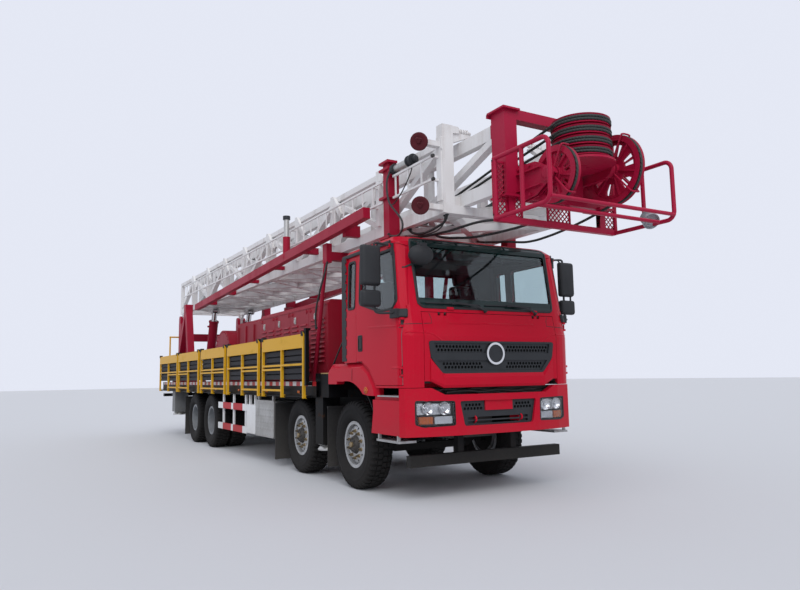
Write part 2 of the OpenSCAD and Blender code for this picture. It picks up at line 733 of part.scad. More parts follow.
// Bumper plan outline, drawn back by t
function bumper_plan(t, back) = let (
        p = [[back, 1240 - t], [1400 - t, 1205 - t], [1478 - t, 960 - t / 3], [1530 - t, 600], [1550 - t, 0]])
    concat(p, [for (i = [len(p) - 2 : -1 : 0]) [p[i].x, -p[i].y]]);
bumper_z = [730, 1265];
bumper_t = 80;
lamp = [[620, 845], [1000, 835], [1085, 865], [1085, 1122], [625, 1112]];
module bumper_band(t0, t1) {
    difference() {
        upward(bumper_z[0], bumper_z[1]) polygon(bumper_plan(t0, 1328));
        upward(bumper_z[0] - 1, bumper_z[1] + 1) polygon(bumper_plan(t1, 1000));
    }
}
module bumper() {
    color("crimson") {
        difference() {
            bumper_band(0, bumper_t);
            along(1200, 1600) polygon([[-1000, 1308], [-740, 1185], [740, 1185], [1000, 1308]]);
            both() along(1200, 1600) polygon(soft(lamp, 25));
            along(1400, 1600) polygon(soft(intake, 30));
        }
        both() block(rail_front, 1480, rail_y - rail_w, rail_y, 850, 1050);
        // Tow hooks
        both() {
            block(1470, 1500, 315, 335, 850, 950);
            translate([1496, 335, 900]) rotate([90, 0, 0]) rotate_extrude() translate([30, 0]) circle(r = 10);
        }
        // Blank plate
        block(1500, 1522, -200, 200, 995, 1115);
    }
    color("#1b1b1d") along(1468, 1506) difference() {
        polygon(soft([for (p = intake) [p.x * 1.012, 970 + (p.y - 970) * 1.03]], 30));
        for (s = [-1, 1]) mesh_holes(s, [250, 480], 1000, 2);
        for (z = [850, 895]) translate([-440, z]) square([880, 28]);
    }
}
intake = [[-560, 1110], [560, 1110], [500, 830], [-500, 830]];
module headlamps() {
    color("white", 0.8) both() intersection() {
        bumper_band(8, bumper_t);
        along(1200, 1600) polygon(soft([for (p = lamp) [855 + (p.x - 855) * 0.9985, 980 + (p.y - 980) * 0.998]], 25));
    }
}

// Fender with a sloped crest over the wheel, wheel arch liner and steps, drawn for the left side
fender_t = 45;
arch_r = 730;
arch_c = 620;
crest_top = arch_z - 6;
crest_foot = 1175;
crest_depth = 110;
slope_w = 50;
slope_h = 60;
crest_back = [[-590, 1310], [-590, 1500], [-515, crest_top], [424, crest_top], [612, 1474], [752, 1324],
    [790, cab_floor - 6], [790, crest_foot], [600, crest_foot]];
crest_face = [[-565, 1310], [-565, 1465], [-500, crest_top - slope_h], [400, crest_top - slope_h], [565, 1430],
    [697, 1290], [735, 1220], [735, crest_foot], [600, crest_foot]];
module crest() {
    difference() {
        hull() {
            across(cab_y - crest_depth, cab_y - slope_w) polygon(crest_back);
            across(cab_y - 2, cab_y) polygon(crest_face);
        }
        across(1000, 1300) {
            translate([0, arch_c]) circle(r = arch_r);
            block_2d(-600, -200, 600, 1310);
            block_2d(-300, 0, 600, 1345);
        }
    }
}
side_panel = [[650, 740], [1322, 740], [1322, 1130], [690, 1130], [700, 1000]];
module block_2d(x0, x1, y0, y1) {
    translate([x0, y0]) square([x1 - x0, y1 - y0]);
}
module fenders() {
    color("crimson") both() {
        crest();
        across(cab_y - fender_t, cab_y - 12) polygon(side_panel);
        block(690, 1322, cab_y - fender_t - 30, cab_y - fender_t, 740, crest_foot + 5);
        across(860, cab_y - fender_t) difference() {
            translate([0, arch_c]) circle(r = arch_r + 14);
            translate([0, arch_c]) circle(r = arch_r);
            block_2d(-900, 0, -200, 2000);
            block_2d(-900, 900, -200, 800);
        }
        block(-590, 10, 860, cab_y - crest_depth + 2, 1350, 1364);
        block(850, 910, rail_y, cab_y - fender_t, 1000, 1060);
        block(1260, 1320, 1000, cab_y - fender_t, 745, 1180);
    }
    color("silver") both() {
        block(825, 1318, 1010, cab_y - 4, 1168, 1184);
        block(800, 1322, 1020, cab_y, 660, 685);
        for (x = [830, 1270]) block(x, x + 20, cab_y - 40, cab_y - 4, 685, 745);
    }
}

// Inside of the cab: dash, seats, steering wheel on the left
module seat_shape() {
    across(-250, 250) polygon(soft([[-60, 1960], [500, 1990], [520, 2080], [60, 2070], [-20, 2700], [-130, 2700]], 40));
    block(0, 380, -180, 180, arch_z + wall, 1975);
}
wheel_at = [930, 560, 2150];
door_sweep = 205;
module cab_interior() {
    color("#3a3a3e") {
        difference() {
            intersection() {
                cab_form(wall + 6);
                across(-cab_y, cab_y) polygon(soft([[1000, 1700], [firewall_x, 1500], [firewall_x, 2190], [1280, 2215],
                    [1060, 2180], [980, 2050]], 25));
            }
            both() translate([hinge_x, hinge_y, 1400]) cylinder(r = door_sweep, h = 900);
        }
        for (y = [-560, 560]) translate([150, y, 0]) seat_shape();
        rod(wheel_at, [1120, wheel_at.y, 1850], 60);
        translate(wheel_at) rotate([0, -32, 0]) {
            rotate_extrude() translate([210, 0]) circle(r = 16);
            for (a = [0, 120, 240]) rotate(a) block(0, 205, -14, 14, -8, 8);
            cylinder(r = 60, h = 24, center = true);
        }
    }
}

// Engine housing behind the cab
housing = [-4170, -1115, 1000, 2540];

// Louvre columns: place, width, top, rows
louvres = [[-1330, 200, 2290, 10], [-1640, 200, 2290, 10], [-2050, 240, 2240, 4], [-2420, 240, 2240, 4],
    [-2800, 240, 2240, 4], [-3180, 240, 2240, 4], [-3560, 240, 2240, 4], [-3920, 200, 2240, 4]];
louvre_gap = 70;
louvre_out = 20;
seams = [-1490, -1850, -2610, -3370];
module engine_housing() {
    y = housing[2];
    color("#9b1c2c") {
        difference() {
            along(housing[0], housing[1]) polygon([[-y, deck_top], [y, deck_top], [y, housing[3] - 60],
                [y - 50, housing[3]], [-y + 50, housing[3]], [-y, housing[3] - 60]]);
            both() for (x = seams) block(x - 4, x + 4, y - 6, y + 1, deck_top + 60, housing[3] - 80);
        }
        both() for (l = louvres) along(l[0] - l[1] / 2, l[0] + l[1] / 2) polygon(concat([[y - 50, l[2] + 10]],
            [for (i = [0 : l[3] - 1], p = [[-1, 0], [louvre_out, -32], [-1, -38]])
                [y + p.x, l[2] - i * louvre_gap + p.y]],
            [[y - 50, l[2] - l[3] * louvre_gap]]));
    }
}

// Drawworks: transfer box, drum housing with its arched cover
gearbox = [-5900, -4230, 900, 2530];
drum = [-6700, 1900, 620];
brake = [-6650, 1880, 560];
module arched_cover(x, z, r) {
    intersection() {
        union() {
            translate([x, z]) circle(r = r);
            block_2d(x - r, x + r, deck_top, z);
        }
        block_2d(x - r, x + r, deck_top, z + r);
    }
}
module drawworks() {
    color("#9b1c2c") {
        along(gearbox[0], gearbox[1]) polygon([[-gearbox[2], deck_top], [gearbox[2], deck_top],
            [gearbox[2], gearbox[3] - 50], [gearbox[2] - 50, gearbox[3]], [-gearbox[2] + 50, gearbox[3]],
            [-gearbox[2], gearbox[3] - 50]]);
        across(-300, 950) arched_cover(drum[0], drum[1], drum[2]);
        across(-1000, -300) arched_cover(brake[0], brake[1], brake[2]);
        across(-900, -300) polygon([[-7900, deck_top], [-7150, deck_top], [-7150, 2300], [-7450, 2380], [-7700, 1900],
            [-7900, 1800]]);
    }
}

// Hinge frame, side frames and front rest that carry the mast
column_y = [690, 910];
base_x = -9900;
base_z = 1600;
ram_y = 450;
rest_x = -1040;
rest_leg_y = 1060;
module mast_supports() {
    color("#a01c30") {
        both() {
            // Hinge column with two cheeks and the pin between them
            block(-hinge_back - 100, -hinge_back + 200, column_y[0], column_y[1], deck_top, 2930);
            for (y = [column_y[0], column_y[1] - 60]) {
                block(-hinge_back - 90, -hinge_back + 90, y, y + 60, 2925, hinge_z);
                wheel_y(180, -hinge_back, hinge_z, y, y + 60);
            }
            wheel_y(hinge_d, -hinge_back, hinge_z, column_y[0] + 10, column_y[1] - 10);
            // Side frame beside the mast
            difference() {
                union() {
                    strut([-9750, 3200], [-9250, deck_top], 160, 950, 1110);
                    strut([-9800, 3200], [-10900, deck_top], 140, 960, 1100);
                }
                block(-11500, -9000, 900, 1200, deck_under, deck_top);
            }
            block(-9860, -9660, 940, 1120, 3100, 3300);
            block(-9340, -9140, 930, 1130, deck_top, deck_top + 30);
            block(-11010, -10790, 930, 1130, deck_top, deck_top + 30);
            // Foot of a raising cylinder
            for (y = [ram_y - ram_side - 40, ram_y + ram_side]) across(y, y + 40) union() {
                translate([base_x, base_z]) circle(r = 90);
                polygon([[base_x - 180, deck_top], [base_x + 180, deck_top], [base_x + 80, base_z], [base_x - 80, base_z]]);
            }
            wheel_y(ram_pin, base_x, base_z, ram_y - ram_side - 20, ram_y + ram_side + 20);
            // Front rest
            block(rest_x - 50, rest_x + 50, 650, 750, deck_top, 3100);
            rod([rest_x, rest_leg_y, 3110], [rest_x - 460, rest_leg_y, deck_top + 10], 60);
            block(rest_x - 70, rest_x + 70, 1000, 1085, 3050, 3330);
            block(rest_x - 520, rest_x - 400, rest_leg_y - 40, rest_leg_y + 40, deck_top, deck_top + 20);
        }
        block(-hinge_back - 50, -hinge_back + 150, -column_y[0], column_y[0], 2450, 2650);
        block(rest_x - 70, rest_x + 70, -1085, 1085, 3090, mast_z - seat);
    }
}

// Raising cylinders, drawn along +Z from the foot pin and then leaned to the mast
ram_eye = [-9400, 3130];
ram_v = ram_eye - [base_x, base_z];
ram_l = norm(ram_v);
ram_d = [220, 176, 130];
ram_pin = 60;
ram_side = ram_d[0] / 2 + 6;
barrel_l = 1330;
module on_ram() {
    both() translate([base_x, ram_y, base_z]) rotate([0, atan2(ram_v.x, ram_v.y), 0]) children();
}
module raising_barrels() {
    color("#a01c30") on_ram() difference() {
        union() {
            rotate([90, 0, 0]) cylinder(r = 80, h = ram_d[0] - 16, center = true);
            translate([0, 0, 40]) cylinder(d = ram_d[0], h = barrel_l - 40);
        }
        rotate([90, 0, 0]) cylinder(d = ram_pin + 2 * pin_gap, h = 2 * ram_d[0], center = true);
        translate([0, 0, 110]) cylinder(d = ram_d[1] + 2 * pin_gap, h = barrel_l);
    }
}
module raising_stages() {
    color("silver") on_ram() difference() {
        translate([0, 0, 115]) cylinder(d = ram_d[1], h = barrel_l - 115 + 40);
        translate([0, 0, 160]) cylinder(d = ram_d[2] + 2 * pin_gap, h = barrel_l);
    }
}
module raising_rods() {
    color("silver") on_ram() difference() {
        union() {
            translate([0, 0, 165]) cylinder(d = ram_d[2], h = ram_l - 165 - 40);
            translate([0, 0, ram_l]) rotate([90, 0, 0]) cylinder(r = 65, h = 100, center = true);
        }
        translate([0, 0, ram_l]) rotate([90, 0, 0]) cylinder(r = 35, h = 120, center = true);
    }
}

// Lower mast section
lower_y = lower_w / 2;
lower_len = lower_front + lower_rear;
post_w = 100;
pad_xs = [1500, -3200];
ladder_z = [3580, 3850];
upper_z = mast_z + 100;
upper_y = upper_w / 2;
module mast_lower() {
    inner = lower_y - chord_w;
    color("whitesmoke") {
        both() {
            across(inner, lower_y) translate([-lower_rear, mast_z])
                lattice(lower_len, mast_top - mast_z, chord_h, 80, post_w, 70, lower_bays);
            // Outer gusset posts
            for (i = [1 : lower_bays]) {
                x = -lower_rear + i * (lower_len - post_w) / lower_bays;
                across(lower_y - 1, lower_y + 40) polygon([[x, mast_z + chord_h], [x + 90, mast_z + chord_h],
                    [x + 90, mast_top - 120], [x + 330, mast_top - 360], [x + 385, mast_top - 305],
                    [x + 90, mast_top + 20], [x, mast_top + 20]]);
            }
            // Portal post
            block(lower_front - 120, lower_front, inner - 40, lower_y + 20, mast_z, mast_top + 170);
            // Hinge ear
            difference() {
                across(770, 830) union() {
                    translate([-hinge_back, hinge_z]) circle(r = 95);
                    polygon([[-hinge_back - 95, hinge_z], [-hinge_back + 95, hinge_z], [-hinge_back + 260, mast_z + 10],
                        [-hinge_back - 110, mast_z + 10]]);
                }
                wheel_y(hinge_d + 2 * pin_gap, -hinge_back, hinge_z, 700, 900);
            }
            // Lug of the raising cylinder
            for (y = [ram_y - 110, ram_y + 70]) across(y, y + 40) difference() {
                polygon([[ram_eye.x - 160, mast_z + 10], [ram_eye.x - 60, ram_eye.y - 60],
                    [ram_eye.x + 60, ram_eye.y - 60], [ram_eye.x + 160, mast_z + 10]]);
                translate(ram_eye) circle(r = 30);
            }
            // Wear pads that guide the upper section
            for (x = pad_xs) {
                block(x, x + 200, upper_y + seat, inner + 1, upper_z, upper_z + 120);
                block(x, x + 200, upper_y - 80, inner, mast_z, upper_z - seat);
            }
        }
        upward(mast_z, mast_z + 90) for (i = [0 : 1]) mirror([0, i]) translate([-lower_rear, -inner - 1])
            lattice(lower_len, 2 * inner + 2, 5, 5, 120, 90, lower_bays);
        block(ram_eye.x - 200, ram_eye.x + 200, -inner, inner, mast_z, mast_z + 90);
        // Ladder on the right side
        difference() {
            union() {
                for (z = ladder_z) block(-10600, lower_front - 60, -lower_y - 130, -lower_y - 105, z, z + 25);
                for (i = [0 : 40])
                    block(-10550 + i * 300, -10530 + i * 300, -lower_y - 125, -lower_y - 110, ladder_z[0] + 10,
                        ladder_z[1] + 10);
            }
            block(column_x[0] - 60, column_x[1] + 60, -lower_y - 200, -lower_y - 60, 3500, 3900);
        }
        for (z = ladder_z) block(lower_front - 100, lower_front - 60, -lower_y - 106, -lower_y - 19, z, z + 25);
        // Sill between the portal posts
        block(lower_front - 120, lower_front, -inner, inner, mast_z + 90, mast_z + 97);
        // Hand wheels on brackets at the right portal post
        for (z = [3270, 4000]) {
            block(lower_front - 100, lower_front - 20, -lower_y - 210, -lower_y - 19, z - 30, z + 30);
            wheel_y(34, lower_front - 60, z, -lower_y - 290, -lower_y - 200);
        }
        for (i = [1 : lower_bays - 1]) {
            x = -lower_rear + i * (lower_len - post_w) / lower_bays;
            for (z = ladder_z) block(x + 20, x + 60, -lower_y - 106, -lower_y - 39, z, z + 25);
        }
    }
}

// Red beams along the sides of the lower section, with the flanged column
beam_y = [1070, 1170];
column_x = [600, 740];
beam_a = [-8500, 3110];
beam_b = [370, 3480];
module side_beam() {
    color("#a01c30") both() {
        strut(beam_a, beam_b, 140, beam_y[0], beam_y[1]);
        for (x = [-7800, -6300, -4800, -3400, -1900, -450]) {
            z = beam_a.y + (x - beam_a.x) * (beam_b.y - beam_a.y) / (beam_b.x - beam_a.x);
            block(x, x + 100, lower_y, beam_y[0] + 5, min(z - 30, mast_z + chord_h - 30), max(z + 30, mast_z + 60));
        }
        wheel_z(120, -2500, 1120, 3340, 3700);
        wheel_z(90, -2500, 1120, 3700, 3990);
        wheel_z(120, -2500, 1120, 3990, 4050);
        block(column_x[0], column_x[1], lower_y, lower_y + 150, 3120, 4050);
        for (z = [3090, 3600, 3960, 4050])
            block(column_x[0] - 45, column_x[1] + 45, lower_y + 45, lower_y + 190, z, z + 30);
        // Cylinder that lies from the column towards the portal
        wheel_x(90, lower_y + 110, 3945, column_x[1], 1180);
        wheel_x(120, lower_y + 110, 3945, 1180, 1290);
        wheel_x(120, lower_y + 110, 3945, column_x[1], 800);
    }
}
module wheel_z(d, x, y, z0, z1) {
    translate([x, y, z0]) cylinder(d = d, h = z1 - z0);
}

// Upper mast section
module mast_upper() {
    len_u = upper_front + upper_rear;
    color("whitesmoke") {
        both() across(upper_y - chord_w, upper_y) translate([-upper_rear, upper_z])
            lattice(len_u, mast_top - upper_z, 150, 150, 110, 80, upper_bays);
        upward(upper_z, upper_z + 80) for (i = [0 : 1]) mirror([0, i])
            translate([-upper_rear, -upper_y + chord_w - 1])
            lattice(len_u, upper_w - 2 * chord_w + 2, 5, 5, 110, 80, upper_bays);
    }
}

// Crown: portal, platform, guard hoops and sheave carriers
guide_at = [3120, -450, 3330];
fast_at = [3030, 450, 3520];
block_at = [3020, 0, 3540];
// Punched plates of the platform: near edge, far edge, top
floor_plates = [[-862, -680, 3560], [-682, -480, 3230], [-150, 180, 3230], [600, 862, 3230]];
hoop_y = 840;
hoop_foot = 2630;
module hoop(y) {
    d = 45;
    r = 90;
    z0 = platform_z + 25;
    z1 = 3570;
    rod([hoop_foot, y, z1], [guard_front - r, y, z1], d);
    rod([guard_front - r, y, z0], [hoop_foot, y, z0], d);
    rod([guard_front - d / 2, y, z0 + r], [guard_front - d / 2, y, z1 - r], d);
    for (x = [2652, 3060]) rod([x, y, z0], [x, y, z1], d);
    translate([guard_front - d / 2 - r, y, z1 - r]) rotate([90, 0, 0]) rotate_extrude(angle = 90)
        translate([r, 0]) circle(d = d);
    translate([guard_front - d / 2 - r, y, z0 + r]) rotate([90, 90, 0]) rotate_extrude(angle = 90)
        translate([r, 0]) circle(d = d);
}
module crown() {
    color("#b01830") {
        both() {
            block(upper_front, 2680, 560, 720, 3190, 4130);
            for (z = [3190, 4110]) block(upper_front, 2720, 540, 760, z, z + 20);
            hoop(hoop_y);
        }
        block(2560, 2680, -560, 560, 4020, 4130);
        along(hoop_foot - 8, hoop_foot + 8) for (q = floor_plates) difference() {
            translate([q[0], platform_z + 40]) square([q[1] - q[0], q[2] - platform_z - 40]);
            for (y = [q[0] + 38 : 44 : q[1] - 30], i = [0 : floor((q[2] - platform_z - 110) / 44)])
                translate([y, platform_z + 86 + i * 44]) rotate(45) square(22, center = true);
        }
        block(hoop_foot - 30, hoop_foot + 30, -hoop_y, hoop_y, platform_z, platform_z + 60);
        // Bars that keep the rope in the sheaves
        for (p = [[block_at.x - 250, -195], [block_at.x + 250, -195], [block_at.x + 250, 195]])
            rod([p.x, p.y, 3495], [p.x, p.y, 4075], 22);
        rod([block_at.x - 250, -195, 4065], [block_at.x + 250, -195, 4065], 22);
        rod([block_at.x + 250, -195, 4065], [block_at.x + 250, 195, 4065], 22);
        translate([block_at.x, block_at.y, 3504]) cylinder(r = 332, h = 22);
        block(2560, 2680, -560, 560, 3190, 3290);
        // Posts from the portal down to the platform
        both() block(hoop_foot - 30, hoop_foot + 30, 600, 680, platform_z, 3200);
        rod([guard_front - 22, -hoop_y, platform_z + 70], [guard_front - 22, hoop_y, platform_z + 70], 40);
        rod([guard_front - 200, -hoop_y, platform_z + 25], [guard_front - 200, hoop_y, platform_z + 25], 40);
        // Arms and pins of the sheaves
        carrier(guide_at, -1);
        carrier(fast_at, 1);
        block(2590, 2650, 250, 570, 3420, 3500);
        block(2670, 3020, -260, 260, 3500, 3530);
        block(2670, 2760, -260, 260, 3280, 3500);
        translate([block_at.x, block_at.y, 3500]) cylinder(d = 100, h = 560);
        block(2670, 3020, -60, 60, 4040, 4060);
    }
}
module carrier(at, s) {
    y0 = at.y + (s > 0 ? -150 : 90);
    block(2600, at.x, y0, y0 + 60, at.z - 110, at.z + 110);
    wheel_y(200, at.x, at.z, y0, y0 + 60);
    wheel_y(90, at.x, at.z, at.y - 100, at.y + 100);
}
// A sheave: grooved rim, web and hub with a bore, drawn around Z
module sheave(d, t, bore, holes) {
    r = d / 2;
    difference() {
        rotate_extrude() polygon([[bore / 2 + pin_gap, -t / 2], [bore / 2 + 30, -t / 2], [bore / 2 + 30, -12],
            [r - 70, -12], [r - 60, -t / 2], [r, -t / 2], [r - 28, 0], [r, t / 2], [r - 60, t / 2], [r - 70, 12],
            [bore / 2 + 30, 12], [bore / 2 + 30, t / 2], [bore / 2 + pin_gap, t / 2]]);
        for (i = [0 : holes - 1]) rotate(i * 360 / holes)
            translate([(r - 70 + bore / 2 + 30) / 2, 0, -20]) cylinder(d = (r - 100 - bore / 2) * 0.5, h = 40);
    }
}
module guide_sheave() {
    color("#a01c30") translate(guide_at) rotate([90, 0, 0]) sheave(guide_d, 80, 90, 6);
}
module fast_sheave() {
    color("#a01c30") translate(fast_at) rotate([90, 0, 0]) sheave(fast_d, 80, 90, 8);
}
module crown_sheaves() {
    color("#a01c30") for (i = [0 : block_n - 1])
        translate([block_at.x, block_at.y, block_at.z + 50 + i * 110]) sheave(block_d, 90, 100, 0);
}

// Folding walkway panels of one side, drawn for the left
module walk_panel(p) {
    x0 = p[1] + 10;
    x1 = p[0] - 10;
    xm = (x0 + x1) / 2;
    t = walk_tube;
    f0 = walk_y + walk_rod_d / 2 + 2;
    f1 = f0 + t;
    for (x = [x0, xm - t / 2, x1 - t]) {
        block(x, x + t, f0, f1, walk_z, walk_top - 20);
        difference() {
            union() {
                wheel_x(44, walk_y, walk_z, x, x + t);
                block(x, x + t, walk_y, f1, walk_z - 20, walk_z + 20);
            }
            wheel_x(walk_rod_d + 2 * pin_gap, walk_y, walk_z, x - 1, x + t + 1);
        }
    }
    block(x0, x1, f0, f1, walk_top - 200, walk_top);
    block(x0, x1, f0, f1, 1580, 1610);
    low = p[2] == 0 ? [x0, xm] : p[2] == 1 ? [xm, x1] : [x0, x1];
    for (z = [1520, 1200]) block(low[0], low[1], f0, f1, z, z + 30);
    // Hooks that tie the panel to its neighbours
    for (x = [x0, x1 - 70]) block(x, x + 70, f0 - 20, f1 + 10, walk_top - 30, walk_top + 35);
    // Slatted floor folded flat behind the frame
    for (z = [deck_top + 30 : 90 : walk_top - 120]) block(x0, x1, f0 - 45, f0, z, z + 70);
    for (x = [x0 + 60, xm - 30, x1 - 120]) block(x, x + 60, f0 - 30, f0, deck_top + 30, walk_top - 20);
}
module walkways(side) {
    color("gold") on_side(side) for (p = panels) walk_panel(p);
}

module placed() {
    translate([axle_1_x, 0, 0]) children();
}

placed() frame_rails();
placed() front_axles();
placed() drive_axles();
placed() knuckle(axle_x[0], RIGHT);  // knuckle_1r
placed() knuckle(axle_x[0], LEFT);  // knuckle_1l
placed() knuckle(axle_x[1], RIGHT);  // knuckle_2r
placed() knuckle(axle_x[1], LEFT);  // knuckle_2l
placed() translate([axle_x[0], 0, 0]) tyre_ring(-front_track);  // tyre_1r
placed() translate([axle_x[0], 0, 0]) tyre_ring(front_track);  // tyre_1l
placed() translate([axle_x[1], 0, 0]) tyre_ring(-front_track);  // tyre_2r
placed() translate([axle_x[1], 0, 0]) tyre_ring(front_track);  // tyre_2l
placed() front_rim(axle_x[0], RIGHT);  // rim_1r
placed() front_rim(axle_x[0], LEFT);  // rim_1l
placed() front_rim(axle_x[1], RIGHT);  // rim_2r
placed() front_rim(axle_x[1], LEFT);  // rim_2l
placed() twin_tyres(axle_x[2], -1);  // tyres_3r
placed() twin_tyres(axle_x[2], 1);  // tyres_3l
placed() twin_tyres(axle_x[3], -1);  // tyres_4r
placed() twin_tyres(axle_x[3], 1);  // tyres_4l
placed() twin_rims(axle_x[2], RIGHT);  // rims_3r
placed() twin_rims(axle_x[2], LEFT);  // rims_3l
placed() twin_rims(axle_x[3], RIGHT);  // rims_4r
placed() twin_rims(axle_x[3], LEFT);  // rims_4l
placed() truck_engine();
placed() side_gear();
placed() mudguards();
placed() deck();
placed() jack(front_jack, RIGHT);  // jack_front_r
placed() jack(front_jack, LEFT);  // jack_front_l
placed() jack(rear_jack, RIGHT);  // jack_rear_r
placed() jack(rear_jack, LEFT);  // jack_rear_l
placed() cab_shell();
placed() front_flap();
placed() bumper();
placed() headlamps();
placed() fenders();
placed() door(RIGHT);  // door_r
placed() door(LEFT);  // door_l
placed() cab_glass();
placed() door_glass(RIGHT);  // door_glass_r
placed() door_glass(LEFT);  // door_glass_l
placed() mirrors(RIGHT);  // mirrors_r
placed() mirrors(LEFT);  // mirrors_l
placed() cab_interior();
placed() engine_housing();
placed() drawworks();
placed() mast_supports();
placed() raising_barrels();
placed() raising_stages();
placed() raising_rods();
placed() mast_lower();
placed() side_beam();
placed() mast_upper();
placed() crown();
placed() crown_sheaves();
placed() fast_sheave();
placed() guide_sheave();
placed() walkways(RIGHT);  // walkways_r
placed() walkways(LEFT);  // walkways_l
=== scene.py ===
import math

import bmesh
import bpy
from mathutils import Matrix, Vector


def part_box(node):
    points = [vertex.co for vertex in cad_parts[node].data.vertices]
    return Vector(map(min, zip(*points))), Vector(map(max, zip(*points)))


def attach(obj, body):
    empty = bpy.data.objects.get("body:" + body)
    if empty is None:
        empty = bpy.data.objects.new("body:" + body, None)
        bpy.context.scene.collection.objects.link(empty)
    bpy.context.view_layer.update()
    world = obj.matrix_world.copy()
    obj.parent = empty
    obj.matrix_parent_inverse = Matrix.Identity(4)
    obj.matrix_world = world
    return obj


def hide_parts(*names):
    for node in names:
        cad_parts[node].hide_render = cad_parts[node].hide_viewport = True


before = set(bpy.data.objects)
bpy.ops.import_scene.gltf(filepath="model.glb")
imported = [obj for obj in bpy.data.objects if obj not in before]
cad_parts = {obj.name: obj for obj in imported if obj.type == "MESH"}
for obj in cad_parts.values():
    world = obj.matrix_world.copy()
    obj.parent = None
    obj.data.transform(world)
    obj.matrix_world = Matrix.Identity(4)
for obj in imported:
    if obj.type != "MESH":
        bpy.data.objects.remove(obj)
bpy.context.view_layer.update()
bpy.context.scene.view_settings.view_transform = "Standard"

# The camera stands at eye height off the truck's right front corner, with a wide lens that is
# turned a little upwards and rolled by one degree, as the photographer held it.
CAMERA_AT = Vector((12.102, -5.035, 1.401))
CAMERA_YAW = math.radians(149.883)
CAMERA_PITCH = math.radians(6.802)
CAMERA_ROLL = math.radians(-0.961)
CAMERA_LENS = 30.63
ahead = Vector((math.cos(CAMERA_YAW) * math.cos(CAMERA_PITCH),
                math.sin(CAMERA_YAW) * math.cos(CAMERA_PITCH), math.sin(CAMERA_PITCH)))
to_right = ahead.cross(Vector((0, 0, 1))).normalized()
to_top = to_right.cross(ahead)
camera_x = to_right * math.cos(CAMERA_ROLL) + to_top * math.sin(CAMERA_ROLL)
camera_y = to_top * math.cos(CAMERA_ROLL) - to_right * math.sin(CAMERA_ROLL)
camera = bpy.data.objects.new("camera", bpy.data.cameras.new("camera"))
camera.data.lens = CAMERA_LENS
camera.data.sensor_width = 36
camera.data.clip_end = 500
camera.matrix_world = Matrix((
    (camera_x.x, camera_y.x, -ahead.x, CAMERA_AT.x),
    (camera_x.y, camera_y.y, -ahead.y, CAMERA_AT.y),
    (camera_x.z, camera_y.z, -ahead.z, CAMERA_AT.z),
    (0, 0, 0, 1)))
bpy.context.scene.collection.objects.link(camera)
bpy.context.scene.camera = camera

# Frame rails, cross members, axles, leaf springs and knuckles are satin black, dulled by road dust
# that is thickest low down. All of the truck is measured from its first axle, which they carry.
AXLE_1 = (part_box("rim_1r")[0].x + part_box("rim_1r")[1].x) / 2


class Knob:
    """One value or colour on its way to a shader, so that node trees are written as sums"""
    def __init__(self, finish, socket):
        self.finish = finish
        self.socket = socket

    def math(self, operation, *values):
        return self.finish.node("ShaderNodeMath", {"operation": operation}, dict(enumerate(values)))

    def __add__(self, other):
        return self.math("ADD", self, other)

    def __sub__(self, other):
        return self.math("SUBTRACT", self, other)

    def __rsub__(self, other):
        return self.math("SUBTRACT", other, self)

    def __mul__(self, other):
        return self.math("MULTIPLY", self, other)

    def __truediv__(self, other):
        return self.math("DIVIDE", self, other)

    def __pow__(self, other):
        return self.math("POWER", self, other)

    __radd__ = __add__
    __rmul__ = __mul__

    def fraction(self):
        return self.math("FRACT", self)

    def clamped(self):
        return self.math("MINIMUM", self.math("MAXIMUM", self, 0.0), 1.0)


class Finish:
    """The node tree of one paint, metal, glass or rubber, with the shader's own settings"""
    def __init__(self, name, **settings):
        self.material = bpy.data.materials.new(name)
        self.material.use_nodes = True
        self.tree = self.material.node_tree
        self.shader = self.tree.nodes["Principled BSDF"]
        self.set(**settings)
        self.place = self.node("ShaderNodeTexCoord", {}, {}, "Object")

    def put(self, socket, value):
        if isinstance(value, Knob):
            self.tree.links.new(value.socket, socket)
        elif isinstance(value, tuple) and socket.type == "RGBA":
            socket.default_value = (*value[:3], 1)
        else:
            socket.default_value = value

    def set(self, **values):
        for name, value in values.items():
            self.put(self.shader.inputs[name.replace("_", " ")], value)
        return self

    def node(self, kind, settings, values, output=0):
        made = self.tree.nodes.new(kind)
        for name, value in settings.items():
            setattr(made, name, value)
        for name, value in values.items():
            self.put(made.inputs[name], value)
        return Knob(self, made.outputs[output])

    def noise(self, scale, detail=3.0, stretch=(1, 1, 1)):
        at = self.node("ShaderNodeMapping", {}, {"Vector": self.place, "Scale": stretch})
        return self.node("ShaderNodeTexNoise", {}, {"Vector": at, "Scale": scale, "Detail": detail})

    def height(self):
        return self.node("ShaderNodeSeparateXYZ", {}, {0: self.place}, "Z")

    def mix(self, share, first, second):
        return self.node("ShaderNodeMix", {"data_type": "RGBA"}, {0: share, 6: first, 7: second}, 2)

    def bump(self, height, strength, distance=0.002):
        normal = self.node("ShaderNodeBump", {}, {"Strength": strength, "Distance": distance, "Height": height})
        return self.set(Normal=normal)

    def wear(self, shade, share, rough=(), grain=()):
        """Colour, roughness that grows with the share of wear, and a fine grain from one more noise"""
        self.set(Base_Color=shade)
        if rough:
            self.set(Roughness=rough[0] + share * rough[1])
        return self.bump(self.noise(*grain[0]), *grain[1:]) if grain else self


def dusty(finish, colour, dust, rise, patch=1.6):
    """Colour with road dust that thins out with height and lies in cloudy patches"""
    cloud = finish.noise(patch, 5.0)
    fine = finish.noise(38.0, 3.0)
    low = (1.0 - finish.height() / rise).clamped()
    share = (low * 0.55 + (cloud - 0.5) * 0.5 + (fine - 0.5) * 0.25).clamped()
    return finish.mix(share, colour, dust), share


def dusted(name, colour, dust, reach, rough=(), grain=(), **settings):
    """A dusty finish; reach is how high the dust rises and how fine its patches are"""
    finish = Finish(name, **settings)
    return finish.wear(*dusty(finish, colour, dust, *reach), rough, grain)


